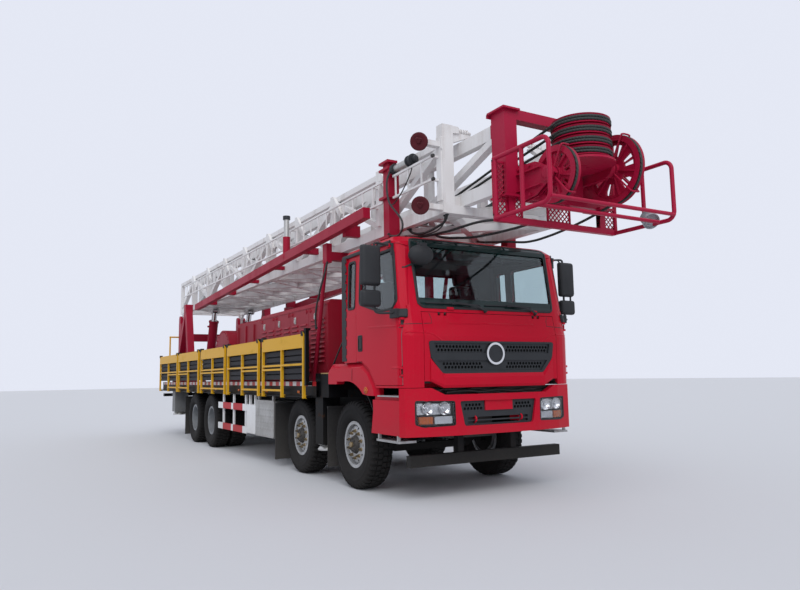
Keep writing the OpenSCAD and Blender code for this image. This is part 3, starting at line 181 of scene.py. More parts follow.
def paint_node(node, finishes, choose=None):
    """Gives a CAD node its finishes; choose says which one a face takes, by its middle and normal"""
    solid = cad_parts[node]
    solid.data.materials.clear()
    for finish in finishes:
        solid.data.materials.append(finish.material)
    for face in solid.data.polygons:
        spot = face.center - Vector((AXLE_1, 0, 0))
        face.material_index = choose(spot, face.normal) if choose else 0


chassis_black = dusted("chassis_black", (0.006, 0.006, 0.007), (0.052, 0.048, 0.043), (0.95,), (0.42, 0.4),
                       ((90.0, 2.0), 0.15), Specular_IOR_Level=0.12)
for node in ("frame_rails", "front_axles", "drive_axles", "knuckle_1r", "knuckle_1l", "knuckle_2r", "knuckle_2l"):
    paint_node(node, [chassis_black])

# The truck's own engine and gearbox, seen low between the front wheels, are rough cast iron that
# has greyed in patches.
def clouded(name, first, second, cloud, rough=(), grain=(), power=None, **settings):
    """A finish that drifts between two colours in the patches of one noise"""
    finish = Finish(name, **settings)
    share = finish.noise(*cloud)
    return finish.wear(finish.mix(share ** power if power else share, first, second), share, rough, grain)


cast_iron = clouded("cast_iron", (0.05, 0.05, 0.052), (0.11, 0.10, 0.09), (14.0, 4.0), (0.55, 0.3),
                    ((160.0, 3.0), 0.3), Metallic=0.3)
paint_node("truck_engine", [cast_iron])

# Tyres are 12.00R20 with chunky shoulder lugs and staggered centre blocks. The carcass is turned
# from its section, and one pitch of tread is copied round the wheel.
SIDES = (("r", -1), ("l", 1))
AXLES = (("1", "_"), ("2", "_"), ("3", "s_"), ("4", "s_"))
TYRE_R = (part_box("rim_1r")[0].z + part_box("rim_1r")[1].z) / 2
TYRE_HALF = 0.1575
TREAD_PITCHES = 44
TREAD_BASE = TYRE_R - 0.017
CARCASS = [(0.2625, 0.108), (0.292, 0.112), (0.300, 0.119), (0.332, 0.143), (0.372, 0.154), (0.402, TYRE_HALF),
           (0.440, 0.1555), (0.446, 0.1575), (0.452, 0.1545), (0.490, 0.149), (0.512, 0.143), (0.527, 0.130),
           (TREAD_BASE, 0.110), (TREAD_BASE, 0.050)]
SHOULDER_LUG = [(0.528, 0.070), (0.5490, 0.074), (0.5475, 0.108), (0.5400, 0.131),
                (0.5150, 0.1480), (0.4980, 0.1510), (0.5050, 0.132)]
CENTRE_BLOCKS = [(-0.033, 0.0), (0.033, 0.5)]
rubber = dusted("tyre_rubber", (0.006, 0.006, 0.007), (0.046, 0.043, 0.040), (1.3, 2.6), (0.62, 0.3),
                ((120.0, 3.0), 0.25), Specular_IOR_Level=0.10)


def turned(bm, profile, centre, axis, steps=64, paint=0):
    """A lathe piece: (radius, along) points spun round an axis through centre"""
    axis = Vector(axis)
    side = axis.orthogonal().normalized()
    chain = [bm.verts.new(centre + side * r + axis * a) for r, a in profile]
    edges = [bm.edges.new(pair) for pair in zip(chain, chain[1:])]
    made = bmesh.ops.spin(bm, geom=chain + edges, cent=centre, axis=axis, angle=math.tau, steps=steps,
                          use_merge=True)
    for face in {f for e in edges for f in e.link_faces}:
        face.material_index = paint
    if paint:
        for part in made["geom_last"]:
            if isinstance(part, bmesh.types.BMFace):
                part.material_index = paint


def hand_over(name, bm, finishes, body, stands_for=(), edge=0.0, sharp=35):
    """Welds a finished mesh, softens its edges, paints it and fixes it to the body it rides on"""
    bmesh.ops.remove_doubles(bm, verts=bm.verts, dist=0.00002)
    bmesh.ops.recalc_face_normals(bm, faces=bm.faces)
    mesh = bpy.data.meshes.new(name)
    bm.to_mesh(mesh)
    bm.free()
    for finish in finishes:
        mesh.materials.append(finish.material)
    stale = mesh.attributes.get("custom_normal")
    if stale:
        mesh.attributes.remove(stale)
    mesh.shade_smooth()
    mesh.set_sharp_from_angle(angle=math.radians(sharp))
    made = bpy.data.objects.new(name, mesh)
    bpy.context.scene.collection.objects.link(made)
    if edge:
        bevel = made.modifiers.new("edge", "BEVEL")
        bevel.width = edge
        bevel.segments = 2
        bevel.limit_method = "ANGLE"
        bevel.angle_limit = math.radians(sharp)
    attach(made, body)
    if stands_for:
        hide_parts(*stands_for)
    return made


def tyre(bm, centre):
    turned(bm, CARCASS + [(r, -a) for r, a in reversed(CARCASS)], centre, (0, 1, 0), 88)
    for side in (-1, 1):
        start = 0.25 * (side + 1)
        add_lugs(bm, centre, [(r, side * a) for r, a in SHOULDER_LUG], start, 0.60)
    for a, start in CENTRE_BLOCKS:
        block_section = [(TREAD_BASE - 0.004, a - 0.031), (0.5495, a - 0.029), (0.5495, a + 0.029),
                         (TREAD_BASE - 0.004, a + 0.031)]
        add_lugs(bm, centre, block_section, start, 0.72)


def add_lugs(bm, centre, section, start, share):
    """Copies one lug, a section in (radius, along), round the wheel by spinning it in pitches"""
    step = math.tau / TREAD_PITCHES
    turn = Matrix.Rotation(start * step, 3, "Y")
    face = bm.faces.new([bm.verts.new(centre + turn @ Vector((r, a, 0))) for r, a in section])
    grown = bmesh.ops.extrude_face_region(bm, geom=[face])["geom"]
    far = [v for v in grown if isinstance(v, bmesh.types.BMVert)]
    bmesh.ops.rotate(bm, verts=far, cent=centre, matrix=Matrix.Rotation(share * step, 3, "Y"))
    verts = list(face.verts) + far
    faces = list({f for v in verts for f in v.link_faces})
    bmesh.ops.spin(bm, geom=verts + list({e for f in faces for e in f.edges}) + faces, cent=centre, axis=(0, 1, 0),
                   angle=math.tau * (TREAD_PITCHES - 1) / TREAD_PITCHES, steps=TREAD_PITCHES - 1,
                   use_duplicate=True)


def tyre_piece(node, body):
    low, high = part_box(node)
    bm = bmesh.new()
    middle = (low + high) / 2
    width = high.y - low.y
    spread = (width - 2 * TYRE_HALF) / 2
    for y in ((middle.y - spread, middle.y + spread) if spread > 0.05 else (middle.y,)):
        tyre(bm, Vector((middle.x, y, middle.z)))
    hand_over("rubber_" + node, bm, [rubber], body, (node,), sharp=50)


for side, sign in SIDES:
    for axle, twin in AXLES:
        tyre_piece("tyre" + twin + axle + side, "wheel" + twin + axle + side)

# Rims are pressed steel, silver in front and grey behind. Ten nuts with brass-coloured collars hold
# each one, round a dark hub with its own ring of small bolts and a cap.
NUT_CIRCLE = 0.1675
NUTS = 10
NUT = ((-0.004, 0.008, 0.026, 16, 0.022, 0), (0.006, 0.034, 0.0185, 6, 0.0175, 0),
       (0.030, 0.052, 0.0105, 10, 0.009, 1))
BOLT_CIRCLE = 0.073
HUB_BOLTS = 8
BOLT = ((-0.004, 0.012, 0.011, 6, 0.010, 1),)
rim_silver = clouded("rim_silver", (0.50, 0.51, 0.52), (0.16, 0.145, 0.13), (9.0, 5.0), (0.32, 0.35), power=2.2,
                     Metallic=0.55)
rim_grey = clouded("rim_grey", (0.27, 0.29, 0.31), (0.13, 0.12, 0.115), (7.0, 5.0), (0.5, 0.25), power=2.0,
                   Metallic=0.2)
nut_brass = clouded("nut_brass", (0.42, 0.30, 0.14), (0.20, 0.17, 0.13), (30.0,), Metallic=0.8, Roughness=0.42)
hub_dark = clouded("hub_dark", (0.02, 0.02, 0.022), (0.09, 0.08, 0.07), (22.0, 4.0), (0.5, 0.3), Metallic=0.35)
RIMS = {"_": (rim_silver, "rim_silver", 0.119, 1.018, 0.104, 0.152),
        "s_": (rim_grey, "rim_grey", 0.137, 0.0, 0.932, 1.06)}


def bar(bm, start, end, radius, sides=12, end_radius=None, paint=0):
    """A round bar between two points of the shared frame"""
    run = end - start
    turn = run.to_track_quat("Z", "Y").to_matrix().to_4x4()
    made = bmesh.ops.create_cone(
        bm, cap_ends=True, segments=sides, radius1=radius, radius2=radius if end_radius is None else end_radius,
        depth=run.length, matrix=Matrix.Translation((start + end) / 2) @ turn)["verts"]
    for face in {f for v in made for f in v.link_faces}:
        face.material_index = paint


def wheel_nuts(name, centre, out, face_at, cap_at, body):
    bm = bmesh.new()
    reach = Vector((0, out, 0))
    for count, first, circle, depth, parts in ((NUTS, 0.5, NUT_CIRCLE, face_at, NUT),
                                               (HUB_BOLTS, 0, BOLT_CIRCLE, cap_at, BOLT)):
        for i in range(count):
            turn = Matrix.Rotation(math.tau * (i + first) / count, 3, "Y")
            foot = centre + turn @ Vector((circle, 0, 0)) + reach * depth
            for start, end, wide, sides, narrow, paint in parts:
                bar(bm, foot + reach * start, foot + reach * end, wide, sides, narrow, paint)
    turned(bm, [(0.0, cap_at + 0.03), (0.028, cap_at + 0.03), (0.034, cap_at + 0.024), (0.036, cap_at - 0.004),
                (0.0, cap_at - 0.004)], centre, (0, out, 0), 32, 1)
    hand_over(name, bm, [nut_brass, hub_dark], body, sharp=30)


for side, sign in SIDES:
    for axle, twin in AXLES:
        node = "rim" + twin + axle + side
        middle = sum(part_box(node), Vector()) / 2
        finish, slot, hub, track, face_at, cap_at = RIMS[twin]
        paint_node(node, [finish, hub_dark], lambda spot, normal, middle=middle, hub=hub:
                   1 if math.hypot(spot.x + AXLE_1 - middle.x, spot.z - middle.z) < hub else 0)
        wheel_nuts("nuts_" + axle + side, Vector((middle.x, sign * track, middle.z)), sign, face_at, cap_at,
                   "wheel" + twin + axle + side)

# The deck is black painted plate, scuffed and rusting a little along its edges, with a yellow rear
# ladder and grey jack housings welded to it.
LADDER_X = -11.45
DECK_TOP = 1.37
JACK_X = (-10.5, -10.1)
JACK_TOP = 1.12
deck_black = Finish("deck_black", Specular_IOR_Level=0.05)
deck_colour, deck_dust = dusty(deck_black, (0.006, 0.006, 0.007), (0.032, 0.030, 0.027), 1.3)
rust = deck_black.noise(5.5, 6.0)
rusty = ((rust - 0.66) * 9.0).clamped()
deck_black.set(Base_Color=deck_black.mix(rusty * 0.6, deck_colour, (0.10, 0.045, 0.022)),
               Roughness=0.40 + rusty * 0.35 + deck_dust * 0.3)
deck_black.bump(deck_black.noise(75.0, 4.0) + rusty * 0.5, 0.2)


def weathered(name, clean, worn, terms, most, rough, grain, **settings):
    """Paint that is worn in patches, runs and specks, one term each: a noise, its level and its gain"""
    finish = Finish(name, **settings)
    share = sum((finish.noise(*noise) - level) * gain for noise, level, gain in terms).clamped()
    return finish.wear(finish.mix(share * most, clean, worn), share, rough, grain)


safety_yellow = weathered("safety_yellow", (0.68, 0.37, 0.016), (0.36, 0.22, 0.05),
                          (((3.0, 5.0), 0.55, 3.0), ((60.0, 3.0), 0.5, 0.5)), 0.55, (0.38, 0.35),
                          ((60.0, 3.0), 0.08), Specular_IOR_Level=0.12)
jack_grey = clouded("jack_grey", (0.24, 0.25, 0.26), (0.13, 0.125, 0.12), (6.0, 5.0), (0.45, 0.3), Metallic=0.25)


def deck_face(spot, normal):
    if spot.x < LADDER_X and spot.z > DECK_TOP:
        return 1
    return 2 if JACK_X[0] < spot.x < JACK_X[1] and spot.z < JACK_TOP and abs(spot.y) > 0.88 else 0


paint_node("deck", [deck_black, safety_yellow, jack_grey], deck_face)
bright_steel = clouded("bright_steel", (0.62, 0.62, 0.61), (0.36, 0.35, 0.33), (18.0, 4.0, (1, 1, 0.15)),
                       (0.25, 0.3), Metallic=0.9)
for end in ("front", "rear"):
    for side, sign in SIDES:
        paint_node("jack_%s_%s" % (end, side), [bright_steel])
mud_rubber = dusted("mud_rubber", (0.016, 0.016, 0.017), (0.09, 0.083, 0.075), (1.2,), (),
                    ((40.0, 2.0, (1, 8, 1)), 0.2), Roughness=0.75, Specular_IOR_Level=0.3)
paint_node("mudguards", [mud_rubber])

# A strip of red and white reflective tape runs along the edge of the deck, one thin plate a step,
# its face broken by a fine honeycomb.
REFLECT_Z = (1.283, 1.347)
REFLECT_STEP = 0.15
REFLECT_X = (-0.97, -11.6)
DECK_SIDE = 1.2495
tape_red = clouded("tape_red", (0.50, 0.012, 0.018), (0.26, 0.02, 0.02), (4.0, 5.0), Specular_IOR_Level=0.15,
                   Roughness=0.3)
tape_white = clouded("tape_white", (0.66, 0.67, 0.68), (0.38, 0.37, 0.35), (4.0, 5.0), Specular_IOR_Level=0.2,
                     Roughness=0.3)
for tape in (tape_red, tape_white):
    tape.bump(tape.node("ShaderNodeTexVoronoi", {"feature": "DISTANCE_TO_EDGE"},
                        {"Vector": tape.place, "Scale": 170.0}), 0.3, 0.001)


def at(x, y, z):
    return Vector((AXLE_1 + x, y, z))


def box_of(bm, x, y, z, paint=0):
    """A box between two x, two y and two z, measured from the first axle"""
    middle = at(sum(x) / 2, sum(y) / 2, sum(z) / 2)
    size = Matrix.Diagonal((abs(x[1] - x[0]), abs(y[1] - y[0]), abs(z[1] - z[0]), 1))
    made = bmesh.ops.create_cube(bm, size=1, matrix=Matrix.Translation(middle) @ size)["verts"]
    for face in {f for v in made for f in v.link_faces}:
        face.material_index = paint
    return made


bm = bmesh.new()
for side, sign in SIDES:
    for i in range(int((REFLECT_X[0] - REFLECT_X[1]) / REFLECT_STEP)):
        start = REFLECT_X[0] - i * REFLECT_STEP
        box_of(bm, (start - REFLECT_STEP + 0.001, start - 0.001),
               (sign * DECK_SIDE, sign * 1.2512), REFLECT_Z, i % 2)
hand_over("edge_tape", bm, [tape_red, tape_white], "chassis")

# Small amber side markers hang under the deck's edge in black rubber cups.
MARKER_X = (-1.62, -3.05, -4.6, -6.2, -7.3, -8.9, -10.0)


def ribbed(name, first, second, way, waves, depth, **settings):
    """A finish with fine ribs: waves of two colours that are also its relief"""
    finish = Finish(name, **settings)
    ribs = finish.node("ShaderNodeTexWave", {"bands_direction": way}, {"Vector": finish.place, **waves})
    return finish.set(Base_Color=finish.mix(ribs, first, second)).bump(ribs, *depth)


amber = ribbed("amber_lens", (0.85, 0.20, 0.012), (0.62, 0.11, 0.008), "X", {"Scale": 90.0}, (0.35,),
               Roughness=0.16, Transmission_Weight=0.35, Subsurface_Weight=0.2)
cup_rubber = clouded("cup_rubber", (0.02, 0.02, 0.021), (0.045, 0.043, 0.04), (40.0,), Roughness=0.55)
bm = bmesh.new()
for side, sign in SIDES:
    for x in MARKER_X:
        box_of(bm, (x - 0.055, x + 0.055), (sign * 1.235, sign * DECK_SIDE), (1.165, 1.225), 1)
        box_of(bm, (x - 0.043, x + 0.043), (sign * DECK_SIDE, sign * 1.262), (1.175, 1.215), 0)
hand_over("side_markers", bm, [amber, cup_rubber], "chassis", edge=0.006)

# The tank, lockers and side guards: punched stainless on the near locker, white on the tank panel,
# white posts and rails with red bands in the middle of each gap.
NEAR_LOCKER_X = -3.632
FAR_LOCKER_X = -4.143
GUARD_RED = ((-5.66, -5.10), (-4.97, -4.38))
punched_steel = clouded("punched_steel", (0.52, 0.52, 0.51), (0.26, 0.25, 0.235), (4.5, 5.0), (0.30, 0.3),
                        Metallic=0.75)
along, up = ((punched_steel.node("ShaderNodeSeparateXYZ", {}, {0: punched_steel.place},
                                 axis) * rate).fraction() - 0.5
             for axis, rate in (("X", 8.2), ("Z", 9.5)))
punched_steel.bump(((0.22 - ((along * along) * 0.35 + up * up) ** 0.5) * 12.0).clamped(), 0.8, 0.006)
guard_white = dusted("guard_white", (0.80, 0.81, 0.82), (0.40, 0.37, 0.33), (0.95, 2.2), (0.35, 0.4),
                     Specular_IOR_Level=0.15)
guard_red = dusted("guard_red", (0.48, 0.008, 0.018), (0.24, 0.09, 0.07), (0.95, 2.2), (0.35, 0.4),
                   Specular_IOR_Level=0.1)


def side_gear_face(spot, normal):
    if spot.x > NEAR_LOCKER_X:
        return 0
    if spot.x > FAR_LOCKER_X:
        return 0 if spot.y > 0 else 1
    return 2 if any(a < spot.x < b for a, b in GUARD_RED) and abs(spot.y) > 1.2 and spot.z < 1.0 else 1


def cut_node(node, choose=None, planes=()):
    """A merged copy of a node, cut by planes so that its paint can change between them"""
    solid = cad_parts[node]
    bm = bmesh.new()
    bm.from_mesh(solid.data)
    bmesh.ops.remove_doubles(bm, verts=bm.verts, dist=0.00002)
    for place, across in planes:
        whole = list(bm.verts) + list(bm.edges) + list(bm.faces)
        bmesh.ops.bisect_plane(bm, geom=whole, plane_co=at(*place), plane_no=across, dist=0.00001)
    for face in bm.faces:
        spot = face.calc_center_median() - Vector((AXLE_1, 0, 0))
        face.material_index = choose(spot, face.normal) if choose else 0
    return bm


bm = cut_node("side_gear", side_gear_face, [((x, 0, 0), (1, 0, 0)) for band in GUARD_RED for x in band])
hand_over("side_gear_painted", bm, [punched_steel, guard_white, guard_red], "chassis",
          ("side_gear",), edge=0.004)

# Folded walkways: yellow boards and tube frames in front of black slats. Black hooks tie one panel
# to the next, and black latches clip over the top edge.
BOARD_TOP = 1.999
RAIL_TOP = 2.0301
RAIL_OUT = 1.3541
SLAT_OUT = 1.3145
slat_black = clouded("slat_black", (0.012, 0.013, 0.018), (0.038, 0.038, 0.042), (9.0, 5.0), (0.5, 0.25),
                     ((50.0, 3.0, (0.1, 1, 1)), 0.3), Specular_IOR_Level=0.15)


def walkway_face(spot, normal):
    y = abs(spot.y)
    hook = spot.z > BOARD_TOP and (spot.z > RAIL_TOP or y > RAIL_OUT)
    return 1 if hook or y < SLAT_OUT and spot.z > DECK_TOP else 0


for side, sign in SIDES:
    paint_node("walkways_" + side, [safety_yellow, slat_black], walkway_face)
# Narrow black strips close the gaps between the slats from behind: painted shade for the dark space seen through
# them.
PANELS = ((-3.010, -1.200), (-5.070, -3.210), (-7.110, -5.250), (-9.310, -7.330), (-11.590, -9.460))
for side, sign in SIDES:
    bm = bmesh.new()
    for x in PANELS:
        for i in range(6):
            box_of(bm, x, (sign * 1.255, sign * 1.268), (1.441 + 0.09 * i, 1.479 + 0.09 * i))
    hand_over("slat_gap_shade_" + side, bm, [slat_black], "walkways_" + side, edge=0.002)

# The cab is pressed steel in a deep gloss red. Behind the front flap it has a black firewall, inside
# it is trimmed in grey, and a black ribbed strip covers each rear corner.
SKIN = [(1.270, 1.460, 0.150, 1.245), (1.850, 1.470, 0.150, 1.245), (2.200, 1.400, 0.140, 1.245),
        (2.2001, 1.392, 0.140, 1.245), (2.960, 1.262, 0.120, 1.220), (3.030, 1.180, 0.110, 1.155)]
CORNER = 0.28
FIREWALL = (1.33, 1.4275, 0.988, 2.13)
CAB_SIDE = 1.2455
CAB_BACK = -0.1005
STRIP_X = 0.0185
STRIP_Y = 1.174
STRIP_Z = (1.5999, 2.9401)
FRONT_MIRROR = (1.345, -0.920, 2.800)
PAD_X = 1.405
PADS = ((-0.584, 2.155), (0.682, 2.155))


def skin_at(z):
    """Front, corner depth and half width of the cab at one height"""
    below = max((s for s in SKIN if s[0] <= z), key=lambda s: s[0], default=SKIN[0])
    above = min((s for s in SKIN if s[0] >= z), key=lambda s: s[0], default=SKIN[-1])
    share = 0 if above[0] == below[0] else (z - below[0]) / (above[0] - below[0])
    return [a + (b - a) * share for a, b in zip(below[1:], above[1:])]


def front_skin(y, z, lift=0.0):
    """A point on the cab's front, or just off it, and the way that the skin faces there"""
    def x_at(y, z):
        front, depth, half = skin_at(z)
        sweep = min(1.0, max(0.0, (abs(y) - half + CORNER) / CORNER))
        return front - depth * (1 - math.sqrt(1 - sweep * sweep))
    slope_y = (x_at(y + 0.004, z) - x_at(y - 0.004, z)) / 0.008
    slope_z = (x_at(y, z + 0.004) - x_at(y, z - 0.004)) / 0.008
    facing = Vector((1, -slope_y, -slope_z)).normalized()
    return at(x_at(y, z), y, z) + facing * lift, facing


def side_skin(x, z, sign, lift=0.0):
    """The same on the cab's side"""
    def y_at(x, z):
        front, depth, half = skin_at(z)
        bend = min(1.0, max(0.0, (x - front + depth) / depth))
        return half - CORNER * (1 - math.sqrt(1 - bend * bend))
    slope_x = (y_at(x + 0.004, z) - y_at(x - 0.004, z)) / 0.008
    slope_z = (y_at(x, z + 0.004) - y_at(x, z - 0.004)) / 0.008
    facing = Vector((-slope_x, 1, -slope_z)).normalized()
    spot = at(x, y_at(x, z), z) + facing * lift
    return Vector((spot.x, sign * spot.y, spot.z)), Vector((facing.x, sign * facing.y, facing.z))


cab_red = Finish("cab_red", Coat_Weight=0.28, Coat_IOR=1.25, Coat_Roughness=0.05, Specular_IOR_Level=0.05)
red_colour, red_dust = dusty(cab_red, (0.53, 0.006, 0.026), (0.25, 0.075, 0.065), 0.95, 1.1)
red_cloud = cab_red.noise(0.7, 3.0)
cab_red.set(Base_Color=cab_red.mix(red_cloud * 0.4, red_colour, (0.42, 0.004, 0.019)),
            Roughness=0.30 + red_dust * 0.45)
cab_red.bump(cab_red.noise(220.0, 1.0), 0.012)
black_plastic = clouded("black_plastic", (0.016, 0.017, 0.019), (0.040, 0.042, 0.046), (3.0, 4.0), (0.48, 0.2),
                        ((420.0, 2.0), 0.25, 0.001), Specular_IOR_Level=0.25)
trim_grey = clouded("trim_grey", (0.16, 0.165, 0.17), (0.10, 0.10, 0.105), (5.0, 4.0), (),
                    ((260.0, 2.0), 0.3, 0.001), Roughness=0.8)
firewall_black = clouded("firewall_black", (0.012, 0.012, 0.013), (0.04, 0.036, 0.032), (8.0, 5.0), (),
                         ((30.0, 4.0), 0.3), Roughness=0.7)


def inside_cab(spot):
    """Whether a point lies well behind the cab's outer skin"""
    return (-0.0505 < spot.x < front_skin(spot.y, spot.z)[0].x - AXLE_1 - 0.03 and spot.z < 2.981
            and abs(spot.y) < side_skin(spot.x, spot.z, 1)[0].y - 0.03)


def shell_face(spot, normal):
    x, y, z = spot
    if FIREWALL[0] < x < FIREWALL[1] and abs(y) < FIREWALL[2] and z < FIREWALL[3]:
        return 3
    outside = abs(y) > CAB_SIDE or x < CAB_BACK
    if outside and x < STRIP_X and abs(y) > STRIP_Y and STRIP_Z[0] < z < STRIP_Z[1]:
        return 1
    if (spot - Vector(FRONT_MIRROR)).length < 0.21 and (x > front_skin(y, z)[0].x - AXLE_1 + 0.004 or z > 2.93):
        return 1
    return 2 if inside_cab(spot) and z > 1.31 else 0


paint_node("cab_shell", [cab_red, black_plastic, trim_grey, firewall_black], shell_face)
for side, sign in SIDES:
    paint_node("door_" + side, [cab_red, trim_grey], lambda spot, normal: 1 if inside_cab(spot) else 0)

# Over the right corner of the windscreen hangs the black plastic bowl of the front mirror, with a
# small cap on top and a bracket on the pillar. Two red pads cover the wiper arms' pivots.
bm = bmesh.new()
bowl = bmesh.ops.create_uvsphere(bm, u_segments=32, v_segments=20, radius=1.0)["verts"]
for v in bowl:
    crown = 0.112 if v.co.z > 0 else 0.128
    v.co = Vector((v.co.x * 0.098, v.co.y * (0.163 if v.co.z < 0 else 0.158), v.co.z * crown))
bmesh.ops.rotate(bm, verts=bowl, cent=(0, 0, 0), matrix=Matrix.Rotation(math.radians(12), 3, "Y"))
bmesh.ops.translate(bm, verts=bowl, vec=at(1.375, -0.945, 2.790))
box_of(bm, (1.345, 1.440), (-0.985, -0.895), (2.870, 2.918))
box_of(bm, (1.275, 1.345), (-0.955, -0.925), (2.865, 2.905))
bar(bm, at(1.330, -0.990, 2.700), at(1.285, -1.120, 2.640), 0.011)
bar(bm, at(1.285, -1.120, 2.640), at(1.255, -1.150, 2.640), 0.016)
hand_over("front_mirror_bowl", bm, [black_plastic], "chassis", edge=0.009, sharp=40)
bm = bmesh.new()
for y, z in PADS:
    box_of(bm, (PAD_X - 0.01, PAD_X + 0.022), (y - 0.048, y + 0.048), (z - 0.004, z + 0.034))
hand_over("wiper_pads", bm, [cab_red], "chassis", edge=0.01)

# The windows are laminated glass, faintly green, held by black rubber seals in their frames. A black
# moulding drips the rain off over each door.
QUARTER = [(0.060, 2.260), (0.060, 2.860), (0.250, 2.860), (0.250, 2.260)]
DOOR_WINDOW = [(0.380, 2.300), (0.380, 2.862), (1.195, 2.862), (1.290, 2.240), (1.215, 2.165), (0.900, 2.165)]
REAR_WINDOW = [(-0.700, 2.330), (0.700, 2.330), (0.700, 2.800), (-0.700, 2.800)]
SEAL = [(-0.017, -0.006), (-0.014, 0.005), (-0.004, 0.009), (0.006, 0.008), (0.015, 0.004), (0.017, -0.006)]
EDGE_Z = (2.180, 2.998)
EDGE_HALF = (1.000, 1.030)
EDGE_ROUND = 0.08
EDGE_STEP = 0.06


def rounded(corners, radius):
    """An outline with its corners softened and its long edges split, as pairs of numbers"""
    flat = [Vector(p) for p in corners]
    points = []
    for i, corner in enumerate(flat):
        before, after = flat[i - 1], flat[(i + 1) % len(flat)]
        start = corner + (before - corner).normalized() * radius
        end = corner + (after - corner).normalized() * radius
        points += [start.lerp(corner, t).lerp(corner.lerp(end, t), t) for t in (0, 0.25, 0.5, 0.75, 1)]
        gap = (after - corner).normalized() * radius
        run = (after - gap) - end
        pieces = int(run.length / EDGE_STEP + 1)
        points += [end + run * (k / pieces) for k in range(1, pieces)]
    return points


def swept(bm, path, section, lifts, closed=False, paint=0):
    """Draws a section along a path, ring by ring; lifts say which way the section's height points"""
    rings = []
    for i, spot in enumerate(path):
        before = path[i - 1] if i or closed else spot
        after = path[(i + 1) % len(path)] if i < len(path) - 1 or closed else spot
        along = (after - before).normalized()
        out = along.cross(lifts[i] if isinstance(lifts, list) else lifts).normalized()
        up = out.cross(along)
        ring = [bm.verts.new(spot + out * u + up * v) for u, v in section]
        rings.append([bm.edges.new((ring[k - 1], ring[k])) for k in range(len(ring))])
    for a, b in zip(rings, rings[1:] + rings[:1] if closed else rings[1:]):
        for face in bmesh.ops.bridge_loops(bm, edges=a + b)["faces"]:
            face.material_index = paint
    if not closed:
        for ring in (rings[0], rings[-1]):
            for face in bmesh.ops.contextual_create(bm, geom=ring)["faces"]:
                face.material_index = paint


def laid(bm, placed, section, closed=False, paint=0):
    """Draws a section along points on the cab's skin, with the section's height standing out of it"""
    swept(bm, [p for p, facing in placed], section, [facing for p, facing in placed], closed, paint)


def seal_round(bm, outline, on_skin):
    laid(bm, [on_skin(p.x, p.y) for p in outline], SEAL, True)


glass = Finish("window_glass", Roughness=0.015, IOR=1.45, Transmission_Weight=1.0, Specular_IOR_Level=0.7)
smear = glass.noise(1.7, 5.0)
glass.set(Base_Color=glass.mix(smear, (0.70, 0.80, 0.80), (0.60, 0.70, 0.72)))
glass.set(Roughness=((smear - 0.6) * 0.25).clamped() + 0.01)
seal_rubber = clouded("seal_rubber", (0.010, 0.010, 0.011), (0.026, 0.026, 0.028), (14.0,), Roughness=0.55,
                      Specular_IOR_Level=0.35)
for node in ("cab_glass", "door_glass_r", "door_glass_l"):
    paint_node(node, [glass])
bm = bmesh.new()
seal_round(bm, rounded([(-EDGE_HALF[0], EDGE_Z[0]), (EDGE_HALF[0], EDGE_Z[0]), (EDGE_HALF[1], EDGE_Z[1]),
                        (-EDGE_HALF[1], EDGE_Z[1])], EDGE_ROUND),
           lambda y, z: front_skin(y, z, 0.003))
seal_round(bm, rounded(REAR_WINDOW, 0.06), lambda y, z: (at(-0.101, y, z), Vector((-1, 0, 0))))
for side, sign in SIDES:
    seal_round(bm, rounded(QUARTER, 0.04), lambda x, z, sign=sign: side_skin(x, z, sign, 0.001))
    ledge = [side_skin(x, 2.948, sign, 0.004) for x in [-0.10 + 0.09 * k for k in range(15)]]
    laid(bm, ledge, [(-0.022, 0), (-0.022, 0.016), (0.006, 0.026), (0.022, 0.020), (0.022, 0)])
hand_over("cab_seals", bm, [seal_rubber], "chassis", sharp=50)

# The windscreen's glass laps over the cab's front: outside the opening it is printed black, up to
# the roof and down to the wipers.
screen_black = clouded("screen_black", (0.006, 0.016, 0.016), (0.012, 0.032, 0.030), (3.0, 4.0), Roughness=0.06,
                       Specular_IOR_Level=0.35)


def in_screen(y, z):
    """Draws a point in to the screen's rounded outline"""
    share = (z - EDGE_Z[0]) / (EDGE_Z[1] - EDGE_Z[0])
    half = EDGE_HALF[0] + (EDGE_HALF[1] - EDGE_HALF[0]) * share
    middle, reach = (EDGE_Z[0] + EDGE_Z[1]) / 2, (EDGE_Z[1] - EDGE_Z[0]) / 2
    y = max(-half, min(half, y))
    over = Vector((abs(y) - half + EDGE_ROUND, abs(z - middle) - reach + EDGE_ROUND))
    if min(over) > 0 and over.length > EDGE_ROUND:
        over = over.normalized() * EDGE_ROUND
        y = math.copysign(half - EDGE_ROUND + over.x, y)
        z = middle + math.copysign(reach - EDGE_ROUND + over.y, z - middle)
    return y, z


bm = bmesh.new()
for y, z, across, up in (((-1.030, 1.030), (2.905, 2.998), 32, 6), ((-1.030, 1.030), (2.180, 2.288), 32, 6),
                         ((-1.030, -0.990), (2.288, 2.905), 2, 12), ((0.990, 1.030), (2.288, 2.905), 2, 12)):
    for v in bmesh.ops.create_grid(bm, x_segments=across, y_segments=up, size=0.5)["verts"]:
        spot = in_screen(y[0] + (v.co.x + 0.5) * (y[1] - y[0]), z[0] + (v.co.y + 0.5) * (z[1] - z[0]))
        v.co = front_skin(*spot, 0.004)[0]
hand_over("screen_border", bm, [screen_black], "chassis", sharp=50)

